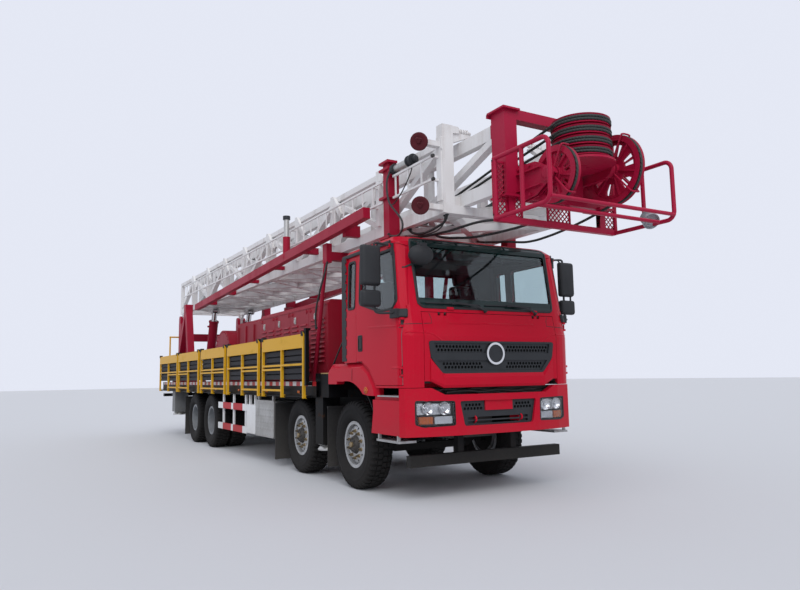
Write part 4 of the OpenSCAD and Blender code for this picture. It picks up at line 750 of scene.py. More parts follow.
# The doors carry their own seals, black pull handles in a recess, and the pressed crease that runs
# along the cab at the height of the grille.
HANDLE = [(0.346, 1.716), (0.454, 1.716), (0.454, 1.904), (0.346, 1.904)]
DOOR_CREASES = (((0.62, 1.992), (1.372, 1.958)), ((1.19, 1.497), (1.372, 1.493)))
CREASE = [(-0.016, -0.002), (-0.004, 0.0055), (0.004, 0.0055), (0.016, -0.002)]
for side, sign in SIDES:
    bm = bmesh.new()
    seal_round(bm, rounded(DOOR_WINDOW, 0.045), lambda x, z, sign=sign: side_skin(x, z, sign, 0.001))
    rim = [side_skin(p.x, p.y, sign, 0.001) for p in rounded(HANDLE, 0.018)]
    laid(bm, rim, [(-0.010, -0.006), (-0.008, 0.005), (0.004, 0.006), (0.010, -0.006)], True)
    box_of(bm, (0.352, 0.448), (sign * 1.2315, sign * 1.2345), (1.722, 1.898))
    box_of(bm, (0.372, 0.428), (sign * 1.2340, sign * 1.2490), (1.740, 1.872))
    box_of(bm, (0.362, 0.438), (sign * 1.2340, sign * 1.2520), (1.868, 1.892))
    hand_over("door_trim_" + side, bm, [seal_rubber], "door_" + side, edge=0.0025, sharp=50)
    bm = bmesh.new()
    for (x0, z0), (x1, z1) in DOOR_CREASES:
        line = [side_skin(x0 + (x1 - x0) * k / 12, z0 + (z1 - z0) * k / 12, sign) for k in range(13)]
        laid(bm, line, CREASE)
    hand_over("door_creases_" + side, bm, [cab_red], "door_" + side, sharp=25)

# Each mirror set is a tall head over a small wide-angle one: smooth black housings with the glass
# facing back, on a bent tube with a rounded bracket at the belt line and a plate by the roof.
MIRROR_X = (1.120, 1.205)
MIRROR_Y = (1.360, 1.620)
HEADS = ((2.420, 2.900), (2.180, 2.380))
MIRROR_ARMS = (
    (0.014, ((1.300, 1.270, 2.112), (1.285, 1.330, 2.108), (1.220, 1.415, 2.112), (1.172, 1.440, 2.135),
             (1.160, 1.440, 2.200))),
    (0.014, ((1.160, 1.440, 2.370), (1.160, 1.440, 2.430))),
    (0.012, ((1.160, 1.560, 2.370), (1.160, 1.560, 2.430))),
    (0.013, ((1.160, 1.440, 2.880), (1.160, 1.435, 2.912), (1.165, 1.390, 2.922), (1.175, 1.250, 2.908))),
    (0.009, ((1.150, 1.400, 2.890), (1.130, 1.370, 2.925), (1.090, 1.250, 2.925))))
mirror_glass = clouded("mirror_glass", (0.78, 0.80, 0.82), (0.70, 0.72, 0.74), (3.0,), Metallic=1.0, Roughness=0.03)


def round_section(radius, sides=10):
    return [(radius * math.cos(math.tau * i / sides),
             radius * math.sin(math.tau * i / sides)) for i in range(sides)]


def smoothed(points, steps=6):
    """A smooth path through a few points, as a bent tube or a hose runs"""
    ends = [points[0] * 2 - points[1]] + points + [points[-1] * 2 - points[-2]]
    path = []
    for a, b, c, d in zip(ends, ends[1:], ends[2:], ends[3:]):
        for k in range(steps):
            t = k / steps
            path.append(0.5 * (2 * b + (c - a) * t + (2 * a - 5 * b + 4 * c - d) * t * t
                               + (3 * b - a - 3 * c + d) * t * t * t))
    return path + [points[-1]]


def tube(bm, points, radius, sides=10, steps=6):
    """A bent tube through a few points"""
    path = smoothed(points, steps) if len(points) > 2 else points
    run = (path[-1] - path[0]).normalized()
    lift = Vector((0, 0, 1)) if abs(run.z) < 0.8 else Vector((1, 0, 0))
    swept(bm, path, round_section(radius, sides), lift)


for side, sign in SIDES:
    bm = bmesh.new()
    for low, high in HEADS:
        shell = box_of(bm, MIRROR_X, (sign * MIRROR_Y[0], sign * MIRROR_Y[1]), (low, high))
        faces = {f for v in shell for f in v.link_faces}
        back = [f for f in faces if abs(f.normal.x) > 0.9 and f.calc_center_median().x < AXLE_1 + sum(MIRROR_X) / 2]
        front = [f for f in faces if f not in back and abs(f.normal.x) > 0.9]
        bmesh.ops.scale(bm, verts=list({v for f in front for v in f.verts}), vec=(1, 0.90, 0.93),
                        space=Matrix.Translation(-at(1.2, sign * 1.49, (low + high) / 2)))
        bmesh.ops.bevel(bm, geom=list({e for f in faces for e in f.edges if f not in back}), affect="EDGES",
                        offset=0.034, segments=4, profile=0.5, material=-1)
    for face in bm.faces:
        if face.normal.x < -0.98 and face.calc_area() > 0.02:
            bmesh.ops.inset_region(bm, faces=[face], thickness=0.010, depth=-0.006)
            face.material_index = 1
    hand_over("mirror_heads_" + side, bm, [black_plastic, mirror_glass], "door_" + side,
              ("mirrors_" + side,), sharp=32)
    bm = bmesh.new()
    for radius, arm in MIRROR_ARMS:
        tube(bm, [at(x, sign * y, z) for x, y, z in arm], radius)
    box_of(bm, (1.085, 1.205), (sign * 1.205, sign * 1.250), (2.905, 2.932))
    box_of(bm, (1.178, 1.212), (sign * 1.208, sign * 1.238), (2.790, 2.912))
    box_of(bm, (1.215, 1.362), (sign * 1.236, sign * 1.284), (2.052, 2.156))
    hand_over("mirror_arms_" + side, bm, [black_plastic], "door_" + side, edge=0.009, sharp=40)
bm = bmesh.new()
for side, sign in SIDES:
    spot, facing = front_skin(sign * 1.195, 2.104, 0.006)
    turn = facing.to_track_quat("X", "Z").to_matrix().to_4x4()
    bmesh.ops.create_cube(bm, size=1,
                          matrix=Matrix.Translation(spot) @ turn @ Matrix.Diagonal((0.044, 0.125, 0.10, 1)))
hand_over("mirror_brackets", bm, [black_plastic], "chassis", edge=0.014, sharp=40)

# Two long wipers are parked along the foot of the windscreen, black painted steel arms with rubber
# blades.
WIPERS = (((-0.910, -0.150), (-0.085, 2.150)), ((-0.070, 0.640), (0.690, 2.144)))
BLADE_Z = 2.224
bm = bmesh.new()
for (y0, y1), (py, pz) in WIPERS:
    blade = [front_skin(y0 + (y1 - y0) * k / 10, BLADE_Z + 0.006 * math.sin(math.pi * k / 10),
                        0.016) for k in range(11)]
    laid(bm, blade, [(-0.009, -0.010), (-0.005, 0.008), (0.005, 0.008), (0.009, -0.010)])
    middle = (y0 + y1) / 2
    hub, facing = front_skin(py, pz, 0.0)
    bar(bm, hub - facing * 0.004, hub + facing * 0.040, 0.018, 16, 0.015)
    arm = [hub + facing * 0.034, front_skin((py * 2 + middle) / 3, 2.206, 0.044)[0],
           front_skin(middle, BLADE_Z + 0.012, 0.034)[0]]
    swept(bm, smoothed(arm, 4), [(-0.012, -0.004), (-0.012, 0.004), (0.012, 0.004), (0.012, -0.004)],
          Vector((1, 0, 0.15)))
    box_of(bm, (arm[2].x - AXLE_1 - 0.018, arm[2].x - AXLE_1 + 0.004), (middle - 0.03, middle + 0.03),
           (BLADE_Z - 0.004, BLADE_Z + 0.018))
hand_over("wipers", bm, [black_plastic], "chassis", edge=0.002, sharp=40)

# The front flap is a red pressing with a raised chin. Its black moulded grille has four fields of
# hexagon mesh, and a blank chromed ring stands on a disc in the middle.
GRILLE = [(-0.920, 1.790), (0.920, 1.790), (0.890, 1.600), (0.740, 1.425), (-0.740, 1.425), (-0.890, 1.600)]
RING_Z = 1.650
FLAP_CREASE = ((-0.62, 1.998), (0.64, 2.004))
ARCH = ((0.968, 1.886), (0.925, 1.883), (0.850, 1.864), (0.790, 1.828), (0.738, 1.790))
ARCH_FOOT = (1.886, 1.890)
CORNER_SEAM = ((0.970, 1.987), (0.858, 1.994), (0.862, 2.060), (0.884, 2.108))
CORNER_FOOT = (1.987, 1.980)
HAIRLINE = [(-0.0035, -0.002), (-0.0035, 0.0012), (0.0035, 0.0012), (0.0035, -0.002)]
chrome = clouded("chrome", (0.80, 0.80, 0.81), (0.58, 0.58, 0.59), (12.0,), Metallic=1.0, Roughness=0.09)
grille_black = clouded("grille_black", (0.013, 0.015, 0.018), (0.030, 0.033, 0.038), (6.0, 4.0), (0.42, 0.2),
                       ((500.0, 1.0), 0.15, 0.001), Specular_IOR_Level=0.35)


def within(outline, y, z):
    """Whether a point lies inside a rounded outline without hollows"""
    ends = outline[1:] + outline[:1]
    turns = [(b[0] - a[0]) * (z - a[1]) - (b[1] - a[1]) * (y - a[0]) for a, b in zip(outline, ends)]
    return all(t < 0.0004 for t in turns) or all(t > -0.0004 for t in turns)


def scaled(outline, centre, wide, high):
    """An outline grown or shrunk about a centre"""
    return [(centre[0] + (y - centre[0]) * wide, centre[1] + (z - centre[1]) * high) for y, z in outline]


def flap_face(spot, normal):
    out = math.hypot(spot.y, spot.z - RING_Z)
    if out < 0.132 and spot.x > 1.4765:
        return 2 if out > 0.1055 else 1
    frame_edge = scaled(GRILLE, (0, 1.608), 1.008, 1.02)
    return 1 if 1.431 < spot.x < 1.4765 and within(frame_edge, spot.y, spot.z) else 0


paint_node("front_flap", [cab_red, grille_black, chrome], flap_face)
bm = bmesh.new()
line = [front_skin(FLAP_CREASE[0][0] + 0.09 * k, FLAP_CREASE[0][1] + 0.0005 * k) for k in range(15)]
laid(bm, line, CREASE)
corners = bmesh.new()
for side, sign in SIDES:
    for shape, foot, points, paint in ((CREASE, ARCH_FOOT, ARCH, 0), (HAIRLINE, CORNER_FOOT, CORNER_SEAM, 1)):
        line = [front_skin(sign * y, z) for y, z in points]
        laid(bm, line, shape, False, paint)
        line = [front_skin(sign * (0.988 + 0.025 * k), foot[0] + (foot[1] - foot[0]) * k / 8) for k in range(9)]
        laid(corners, line, shape, False, paint)
hand_over("flap_crease", bm, [cab_red, seal_rubber], "front_flap", sharp=25)
hand_over("corner_creases", corners, [cab_red, seal_rubber], "chassis", sharp=25)

# The steel bumper is red too. Its black plastic intake has mesh on both sides of a bare red plate,
# and two red towing eyes reach out of it. Black hoses show in the gap over it, in front of black plates that are
# painted shade for the dark gap.
BUMPER_PLAN = [(1.550, 0.0), (1.530, 0.600), (1.478, 0.960), (1.400, 1.205)]
INTAKE = [(-0.560, 1.110), (0.560, 1.110), (0.500, 0.830), (-0.500, 0.830)]


def bumper_skin(y):
    """How far forward the bumper's face lies"""
    y = abs(y)
    for (x0, y0), (x1, y1) in zip(BUMPER_PLAN, BUMPER_PLAN[1:]):
        if y <= y1:
            return x0 + (x1 - x0) * (y - y0) / (y1 - y0)
    return BUMPER_PLAN[-1][0]


def bumper_face(spot, normal):
    insert = scaled(INTAKE, (0, 0.970), 1.012, 1.03)
    hook = abs(abs(spot.y) - 0.325) < 0.0115 and 0.849 < spot.z < 0.951 and spot.x > 1.4695 and abs(normal.x) < 0.99
    return 1 if 1.4675 < spot.x < 1.5065 and within(insert, spot.y, spot.z) and not hook else 0


paint_node("bumper", [cab_red, grille_black], bumper_face)
bm = bmesh.new()
for z, y0, y1, x in ((1.215, -0.66, 0.66, 1.405), (1.235, -0.80, 0.30, 1.385), (1.190, -0.20, 0.78, 1.375)):
    tube(bm, [at(x, y0 + (y1 - y0) * k / 8, z + 0.010 * math.sin(k * 2.1 + z * 40)) for k in range(9)], 0.014)
# Two black plates fill the gap behind the hoses: painted shade for the dark space under the flap.
box_of(bm, (1.300, 1.330), (-0.90, 0.90), (1.10, 1.262))
box_of(bm, (1.270, 1.300), (-1.16, 1.16), (1.14, 1.262))
hand_over("gap_pipes_and_shade_plates", bm, [cup_rubber], "chassis", sharp=40)

# Each headlamp is one housing behind a clear cover: two chromed bowls over an amber block on the
# outside and a ribbed clear one on the inside, with a black seal round the edge.
LAMP = [(0.620, 0.845), (1.000, 0.835), (1.085, 0.865), (1.085, 1.122), (0.625, 1.112)]
LAMP_MIDDLE = (0.855, 0.980)
LAMP_BENDS = (0.70, 0.78, 0.87, 0.96, 1.03)
BOWLS = ((0.745, 1.035, 0.070), (0.945, 1.035, 0.066))
lamp_clear = clouded("lamp_clear", (0.95, 0.96, 0.97), (0.90, 0.91, 0.92), (5.0,), Roughness=0.03, IOR=1.35,
                     Transmission_Weight=1.0, Specular_IOR_Level=0.6)
lamp_silver = ribbed("lamp_silver", (0.72, 0.73, 0.75), (0.42, 0.43, 0.45), "Y", {"Scale": 42.0}, (0.4, 0.003),
                     Metallic=0.85, Roughness=0.25)


def slab(bm, outline, depth, paint=0):
    """A flat plate: an outline of points in the shared frame, pushed through by a depth vector"""
    face = bm.faces.new([bm.verts.new(p) for p in outline])
    pushed = bmesh.ops.extrude_face_region(bm, geom=[face])["geom"]
    moved = [v for v in pushed if isinstance(v, bmesh.types.BMVert)]
    bmesh.ops.translate(bm, verts=moved, vec=depth)
    for f in {f for v in moved for f in v.link_faces} | {face}:
        f.material_index = paint
    return moved


def lamp_slab(bm, outline, sign, front, thick, paint=0):
    """A plate of the lamp that follows the bumper's bend, its front so far behind the bumper's face"""
    made = slab(bm, [at(0, sign * y, z) for y, z in outline], Vector((-thick, 0, 0)), paint)
    verts = list({v for m in made for f in m.link_faces for v in f.verts})
    geom = verts + list({e for v in verts for e in v.link_edges}) + list({f for v in verts for f in v.link_faces})
    for y in LAMP_BENDS:
        cut = bmesh.ops.bisect_plane(bm, geom=geom, plane_co=at(0, sign * y, 0), plane_no=(0, 1, 0), dist=0.0001)
        geom = list(set(geom) | set(cut["geom"]))
        geom = [g for g in geom if g.is_valid]
    for v in {g for g in geom if isinstance(g, bmesh.types.BMVert)}:
        v.co.x += bumper_skin(v.co.y) - front


for side, sign in SIDES:
    outline = [(p.x, p.y) for p in rounded(LAMP, 0.025)]
    bm = bmesh.new()
    lamp_slab(bm, scaled(outline, LAMP_MIDDLE, 0.965, 0.95), sign, 0.010, 0.004)
    hand_over("lamp_cover_" + side, bm, [lamp_clear], "chassis", sharp=50)
    bm = bmesh.new()
    lamp_slab(bm, scaled(outline, LAMP_MIDDLE, 0.99, 0.99), sign, 0.062, 0.010, 2)
    edge = [at(bumper_skin(y) - 0.008, sign * y, z) for y, z in outline]
    swept(bm, edge, [(-0.016, -0.055), (-0.016, 0.004), (0.002, 0.010), (0.006, -0.055)],
          Vector((1, 0, 0)), True, 2)
    for y, z, radius in BOWLS:
        mouth = at(bumper_skin(y) - 0.022, sign * y, z)
        turned(bm, [(0.0, -0.036), (radius * 0.35, -0.033), (radius * 0.7, -0.022), (radius * 0.93, -0.006),
                    (radius, 0.0), (radius * 1.06, 0.0), (radius * 1.06, -0.038)], mouth, (1, 0, 0), 40, 0)
        turned(bm, [(0.0, -0.004), (radius * 0.16, -0.006), (radius * 0.22, -0.014), (radius * 0.24, -0.034)],
               mouth, (1, 0, 0), 24, 1)
    lamp_slab(bm, [(0.655, 0.968), (1.062, 0.968), (1.062, 1.096), (0.655, 1.086)], sign, 0.050, 0.006, 1)
    lamp_slab(bm, [(0.650, 0.866), (0.868, 0.864), (0.868, 0.946), (0.650, 0.948)], sign, 0.022, 0.034, 1)
    lamp_slab(bm, [(0.884, 0.864), (1.045, 0.866), (1.045, 0.946), (0.884, 0.946)], sign, 0.022, 0.034, 3)
    hand_over("lamp_" + side, bm, [chrome, lamp_silver, seal_rubber, amber], "chassis",
              ("headlamps",), edge=0.0015, sharp=40)

# The fenders are red pressings with a broad bevel, black inside the wheel arch. Below them are two
# silver treads, and a round amber marker faces the side.
STEP_TOP = 0.7395
TREAD_X = (0.8249, 1.3181)
TREAD_Y = 1.0099
TREAD_Z = (1.1679, 1.1841)
ARCH_Z = 0.620
ARCH_R = 0.746
FENDER_MARKER = (0.540, 1.237)
FENDER_SEAM = ((0.192, 1.150, 1.577), (0.184, 1.200, 1.563), (0.166, 1.247, 1.498), (0.158, 1.2475, 1.352))
SEAM_SECTION = [(-0.0025, -0.002), (-0.0025, 0.0012), (0.0025, 0.0012), (0.0025, -0.002)]
tread_silver = clouded("tread_silver", (0.52, 0.53, 0.54), (0.25, 0.24, 0.23), (16.0, 4.0),
                       (0.30, 0.35), Metallic=0.7)
tread_silver.bump(tread_silver.node("ShaderNodeTexVoronoi", {}, {"Vector": tread_silver.place, "Scale": 70.0}), 0.4)


def fender_face(spot, normal):
    y = abs(spot.y)
    upper_tread = TREAD_Z[0] < spot.z < TREAD_Z[1] and TREAD_X[0] < spot.x < TREAD_X[1] and y > TREAD_Y
    if spot.z < STEP_TOP or upper_tread:
        return 1
    in_arch = math.hypot(spot.x, spot.z - ARCH_Z) < ARCH_R and y < 1.232
    behind = y < 1.199 and (spot.x < 0.70 or spot.x > 1.25) and spot.z < 1.19
    return 2 if in_arch or behind or y < 1.1352 and spot.z > 1.19 else 0


paint_node("fenders", [cab_red, tread_silver, chassis_black], fender_face)
bm = bmesh.new()
for side, sign in SIDES:
    out = Vector((0, sign, 0))
    spot = at(FENDER_MARKER[0], sign * 1.2445, FENDER_MARKER[1])
    turned(bm, [(0.0, 0.014), (0.020, 0.013), (0.024, 0.008), (0.026, -0.004), (0.0, -0.004)], spot, out, 32, 0)
    turned(bm, [(0.024, 0.004), (0.027, 0.010), (0.040, 0.010), (0.044, 0.004), (0.045, -0.004), (0.024, -0.004)],
           spot, out, 32, 2)
    turned(bm, [(0.0, 0.0185), (0.009, 0.017), (0.011, 0.012), (0.0, 0.012)], spot, out, 20, 1)
hand_over("fender_markers", bm, [amber, cup_rubber], "chassis", sharp=35)
bm = bmesh.new()
for side, sign in SIDES:
    swept(bm, [at(x, sign * y, z) for x, y, z in FENDER_SEAM], SEAM_SECTION, Vector((0, sign, 0.35)))
hand_over("fender_seams", bm, [seal_rubber], "chassis")

# Inside the cab: a moulded black dash with a cowl over the instruments, the steering wheel on its
# column, a black header over the windscreen and a dark green tint band along the glass.
DASH = [(0.995, 1.720), (1.325, 1.560), (1.325, 2.150), (1.285, 2.195), (1.160, 2.196),
        (1.062, 2.165), (0.990, 2.045)]
COWL = [(1.215, 2.190), (1.150, 2.248), (1.075, 2.252), (1.035, 2.215), (1.055, 2.150), (1.200, 2.150)]
HEADER = [(1.228, 2.778), (1.236, 2.800), (1.196, 2.928), (1.040, 2.945), (1.030, 2.815), (1.120, 2.785)]
WHEEL = (0.930, 0.560, 2.150)
WHEEL_LEAN = math.radians(32)
dash_black = clouded("dash_black", (0.035, 0.037, 0.040), (0.065, 0.067, 0.070), (4.0, 4.0), (0.6, 0.15),
                     ((700.0, 1.0), 0.3, 0.001), Specular_IOR_Level=0.35)
tint_green = clouded("tint_green", (0.004, 0.045, 0.038), (0.006, 0.070, 0.060), (2.0,), Roughness=0.1, Alpha=0.8)


def moulding(bm, profile, y0, y1):
    """A moulded length: an outline in x and z, run across from y0 to y1"""
    slab(bm, [at(x, y0, z) for x, z in profile], Vector((0, y1 - y0, 0)))


bm = bmesh.new()
moulding(bm, DASH, -1.02, 1.02)
moulding(bm, COWL, 0.30, 0.82)
box_of(bm, (1.000, 1.060), (-0.24, 0.18), (1.780, 2.060))
for y in (-0.86, -0.45, 0.24, 0.90):
    box_of(bm, (1.150, 1.240), (y - 0.07, y + 0.07), (2.185, 2.203), 1)
hand_over("dash", bm, [dash_black, grille_black], "chassis",
          ("cab_interior",), edge=0.012, sharp=30)
bm = bmesh.new()
moulding(bm, HEADER, -0.985, 0.36)
moulding(bm, [(1.212, 2.845), (1.196, 2.928), (1.040, 2.945), (1.060, 2.880)], 0.36, 0.985)
hand_over("header", bm, [grille_black], "chassis", edge=0.012, sharp=30)
bm = bmesh.new()
band = [front_skin(-1.015 + 0.07 * k, 2.897, -0.030) for k in range(30)]
laid(bm, band, [(-0.034, 0), (-0.034, 0.0015), (0.034, 0.0015), (0.034, 0)])
hand_over("tint_band", bm, [tint_green], "chassis")
bm = bmesh.new()
hub = at(*WHEEL)
lean = Vector((-math.sin(WHEEL_LEAN), 0, math.cos(WHEEL_LEAN)))
turned(bm, [(0.208 + r, a) for r, a in round_section(0.0155, 12)] + [(0.2235, 0.0)], hub, lean, 48)
turned(bm, [(0.0, 0.022), (0.050, 0.020), (0.062, 0.010), (0.064, -0.012), (0.030, -0.030), (0.0, -0.030)], hub,
       lean, 32)
for i in range(4):
    reach = Matrix.Rotation(math.tau * (i + 0.5) / 4, 3, lean) @ Vector((0, 1, 0))
    bar(bm, hub + reach * 0.045, hub + reach * 0.205 + lean * 0.002, 0.015, 10, 0.011)
bar(bm, hub - lean * 0.02, at(1.120, 0.560, 1.850), 0.032, 20)
hand_over("steering_wheel", bm, [dash_black], "chassis", sharp=50)

# A small fan in a wire cage stands on the dash in front of the second seat.
FAN = (1.140, -0.300, 2.360)
bm = bmesh.new()
fan = at(*FAN)
facing = Vector((-1, -0.25, 0)).normalized()
for r, a in ((0.100, 0.0), (0.085, 0.022), (0.085, -0.022), (0.050, 0.034), (0.050, -0.034)):
    turned(bm, [(r + u, a + v) for u, v in round_section(0.0026, 6)] + [(r + 0.0026, a)], fan, facing, 40)
for i in range(12):
    reach = Matrix.Rotation(math.tau * i / 12, 3, facing) @ Vector((0, 0, 1))
    for s in (-1, 1):
        tube(bm, [fan + reach * 0.10, fan + reach * 0.085 + facing * 0.022 * s,
                  fan + reach * 0.05 + facing * 0.034 * s, fan + facing * 0.038 * s], 0.0018, 5, 3)
turned(bm, [(0.0, 0.02), (0.024, 0.014), (0.026, -0.035), (0.0, -0.040)], fan, facing, 24)
tube(bm, [fan - Vector((0, 0, 0.10)), at(1.140, -0.300, 2.225), at(1.150, -0.300, 2.185)], 0.010, 10)
turned(bm, [(0.0, 0.018), (0.040, 0.014), (0.052, 0.0), (0.0, 0.0)], at(1.150, -0.300, 2.188), (0, 0, 1), 28)
hand_over("dash_fan", bm, [grille_black], "chassis", sharp=45)

# The two seats are high-backed, foam covered in dark grey cloth, with sewn channels across the
# cushion and down the back, and a head rest drawn in at its edges. They stand on steel boxes.
SEAT_Y = 0.560
BACK_LEAN = math.radians(82)
seat_cloth = ribbed("seat_cloth", (0.055, 0.057, 0.064), (0.030, 0.031, 0.036), "DIAGONAL",
                    {"Scale": 220.0, "Distortion": 0.6}, (0.35, 0.001), Roughness=0.9, Sheen_Weight=0.3,
                    Sheen_Roughness=0.5)


def seat_pad(bm, middle, size, lean, channels):
    """A crowned pad: its corners are drawn in, and sewn channels run down its face"""
    made = bmesh.ops.create_cube(bm, size=2)["verts"]
    edges = list({e for v in made for e in v.link_edges})
    bmesh.ops.subdivide_edges(bm, edges=edges, cuts=13, use_grid_fill=True)
    verts = [v for v in bm.verts if not v.tag]
    for v in verts:
        v.tag = True
        u, w, h = v.co
        drawn = 1 - 0.055 * (u * u * w * w + h * h * (u * u + w * w) / 2)
        crown = (1 - u ** 4) * (1 - w ** 4)
        groove = sum(math.exp(-((w - c) / 0.045) ** 2) for c in channels) + math.exp(-((abs(u) - 0.74) / 0.04) ** 2)
        rise = 0.16 * crown - 0.11 * groove * max(0.0, 1 - u ** 6) if h > 0 else -0.03 * crown
        v.co = Vector((u * drawn * size[0], w * drawn * size[1],
                       (h * (0.86 if abs(u) > 0.9 or abs(w) > 0.9 else 1) + rise) * size[2]))
    bmesh.ops.rotate(bm, verts=verts, cent=(0, 0, 0), matrix=Matrix.Rotation(lean, 3, "Y"))
    bmesh.ops.translate(bm, verts=verts, vec=middle)


for side, sign in SIDES:
    y = sign * SEAT_Y
    for name, spot, size, lean, channels in (
            ("cushion", (0.385, y, 2.030), (0.265, 0.245, 0.052), 0.03, (-0.35, 0.35)),
            ("back", (0.105, y, 2.360), (0.290, 0.238, 0.050), BACK_LEAN, (-0.35, 0.35)),
            ("head", (0.052, y, 2.735), (0.085, 0.150, 0.045), BACK_LEAN, (0.0,))):
        bm = bmesh.new()
        seat_pad(bm, at(*spot), size, lean, channels)
        pad = hand_over("seat_%s_%s" % (name, side), bm, [seat_cloth], "chassis", sharp=80)
        rounding = pad.modifiers.new("round", "SUBSURF")
        rounding.levels = rounding.render_levels = 1
bm = bmesh.new()
for side, sign in SIDES:
    y = sign * SEAT_Y
    box_of(bm, (0.160, 0.540), (y - 0.18, y + 0.18), (1.632, 1.940))
    box_of(bm, (0.130, 0.640), (y - 0.20, y + 0.20), (1.930, 1.972))
    for s in (-1, 1):
        bar(bm, at(0.060, y + s * 0.07, 2.630), at(0.054, y + s * 0.07, 2.700), 0.007)
hand_over("seat_frames", bm, [dash_black], "chassis", edge=0.008)

# The engine housing and the drawworks are sheet steel in a duller crimson, weathered by rain. The
# housing's doors close with small stainless latches and hang on strap hinges.
LATCHES = ((-1.58, 2.315), (-2.40, 2.315), (-3.14, 2.315), (-3.90, 2.315))
STRAPS = (-1.56, -1.78, -1.93, -2.53, -2.69, -3.29, -3.45, -4.05)
rig_crimson = weathered("rig_crimson", (0.335, 0.008, 0.032), (0.20, 0.030, 0.040),
                        (((1.3, 6.0), 0.45, 1.6), ((7.0, 4.0, (1, 1, 0.12)), 0.5, 0.9), ((48.0, 3.0), 0.5, 0.25)),
                        0.6, (0.42, 0.3), ((48.0, 3.0), 0.05), Specular_IOR_Level=0.15)
housing_red = weathered("housing_red", (0.30, 0.010, 0.026), (0.185, 0.040, 0.042),
                        (((1.1, 6.0), 0.42, 1.5), ((9.0, 4.0, (1, 1, 0.09)), 0.5, 1.1)),
                        0.6, (0.45, 0.3), ((45.0, 2.0), 0.05), Specular_IOR_Level=0.15)
for node in ("engine_housing", "drawworks"):
    paint_node(node, [housing_red])
bm = bmesh.new()
for side, sign in SIDES:
    for x, z in LATCHES:
        box_of(bm, (x - 0.028, x + 0.028), (sign * 0.996, sign * 1.010), (z - 0.055, z + 0.055))
        box_of(bm, (x - 0.016, x + 0.016), (sign * 1.008, sign * 1.024), (z - 0.040, z + 0.020))
        bar(bm, at(x, sign * 1.005, z + 0.036), at(x, sign * 1.026, z + 0.036), 0.012, 12)
hand_over("housing_latches", bm, [bright_steel], "chassis", edge=0.004)
bm = bmesh.new()
for side, sign in SIDES:
    for x in STRAPS:
        for z in (1.50, 2.42):
            box_of(bm, (x - 0.05, x + 0.05), (sign * 0.996, sign * 1.006), (z - 0.014, z + 0.014))
            bar(bm, at(x, sign * 1.006, z - 0.028), at(x, sign * 1.006, z + 0.028), 0.009, 10)
    for z in (1.37, 2.46):
        box_of(bm, (-4.165, -1.125), (sign * 0.997, sign * 1.008), (z, z + 0.030))
for x in (-2.10, -3.30):
    turned(bm, [(0.0, 0.10), (0.05, 0.10), (0.062, 0.085), (0.062, 0.0), (0.0, 0.0)],
           at(x, -0.45, 2.53), (0, 0, 1), 32)
hand_over("housing_hinges", bm, [housing_red], "chassis", edge=0.003)

# Bolts hold the arched drum covers to their flanges, and the transfer box has ribs and a lid.
bm = bmesh.new()
for centre, radius, faces in (((-6.70, 1.90), 0.585, (0.952,)), ((-6.65, 1.88), 0.525, (-1.002,))):
    for y in faces:
        out = Vector((0, 1 if y > 0 else -1, 0))
        for k in range(15):
            angle = math.pi * (k + 0.5) / 15
            foot = at(centre[0] + radius * math.cos(angle), y, centre[1] + radius * math.sin(angle))
            bar(bm, foot - out * 0.004, foot + out * 0.012, 0.014, 6)
        turned(bm, [(0.0, 0.016), (0.16, 0.016), (0.185, 0.004), (0.185, -0.004), (0.0, -0.004)],
               at(centre[0], y, centre[1]), out, 40)
for x in (-5.80, -5.30, -4.80, -4.32):
    for side, sign in SIDES:
        box_of(bm, (x - 0.015, x + 0.015), (sign * 0.896, sign * 0.925), (1.36, 2.44))
box_of(bm, (-5.50, -4.60), (-0.45, 0.45), (2.525, 2.560))
hand_over("drum_fittings", bm, [housing_red], "chassis", edge=0.004)

# The hinge columns, side frames, front rest and side beams are welded steel in rig crimson. The
# raising cylinders' stages and rods are hard chromed.
for node in ("mast_supports", "raising_barrels"):
    paint_node(node, [rig_crimson])
rod_chrome = clouded("rod_chrome", (0.74, 0.75, 0.76), (0.55, 0.55, 0.56), (24.0, 3.0, (1, 1, 0.2)), (0.08, 0.14),
                     Metallic=1.0)
for node in ("raising_stages", "raising_rods"):
    paint_node(node, [rod_chrome])
STACK_X = -2.5
STACK_Z = (3.6995, 3.9895)
CYLINDER_X = (0.799, 1.1795, 1.2905)


def beam_face(spot, normal):
    y = abs(spot.y)
    if abs(spot.x - STACK_X) < 0.07 and y > 1.05 and spot.z > STACK_Z[0]:
        return 2 if spot.z > STACK_Z[1] else 1
    around = spot.z > 3.87 and 0.89 < y < 1.03 and (spot.x > CYLINDER_X[0] + 0.0015 or abs(normal.x) < 0.9)
    if CYLINDER_X[0] < spot.x < CYLINDER_X[2] and around:
        return 2 if spot.x > CYLINDER_X[1] else 1
    return 0


paint_node("side_beam", [rig_crimson, bright_steel, grille_black], beam_face)
RAM_FOOT = Vector((-9.900, 0, 1.600))
RAM_EYE = Vector((-9.400, 0, 3.130))
bm = bmesh.new()
lean = (RAM_EYE - RAM_FOOT).normalized()
for side, sign in SIDES:
    foot = at(RAM_FOOT.x, sign * 0.450, RAM_FOOT.z)
    turned(bm, [(0.0895, 1.300), (0.122, 1.300), (0.124, 1.305), (0.124, 1.345), (0.118, 1.352), (0.0895, 1.352)],
           foot, lean, 48, 0)
    turned(bm, [(0.1105, 0.180), (0.120, 0.180), (0.120, 0.215), (0.1105, 0.215)], foot, lean, 48, 0)
    for a in (0.24, 1.20):
        boss = foot + lean * a
        bar(bm, boss + Vector((0, sign * 0.09, 0)), boss + Vector((0, sign * 0.150, 0)), 0.024, 6)
hand_over("ram_glands", bm, [rig_crimson], "raising_barrels", edge=0.002, sharp=30)
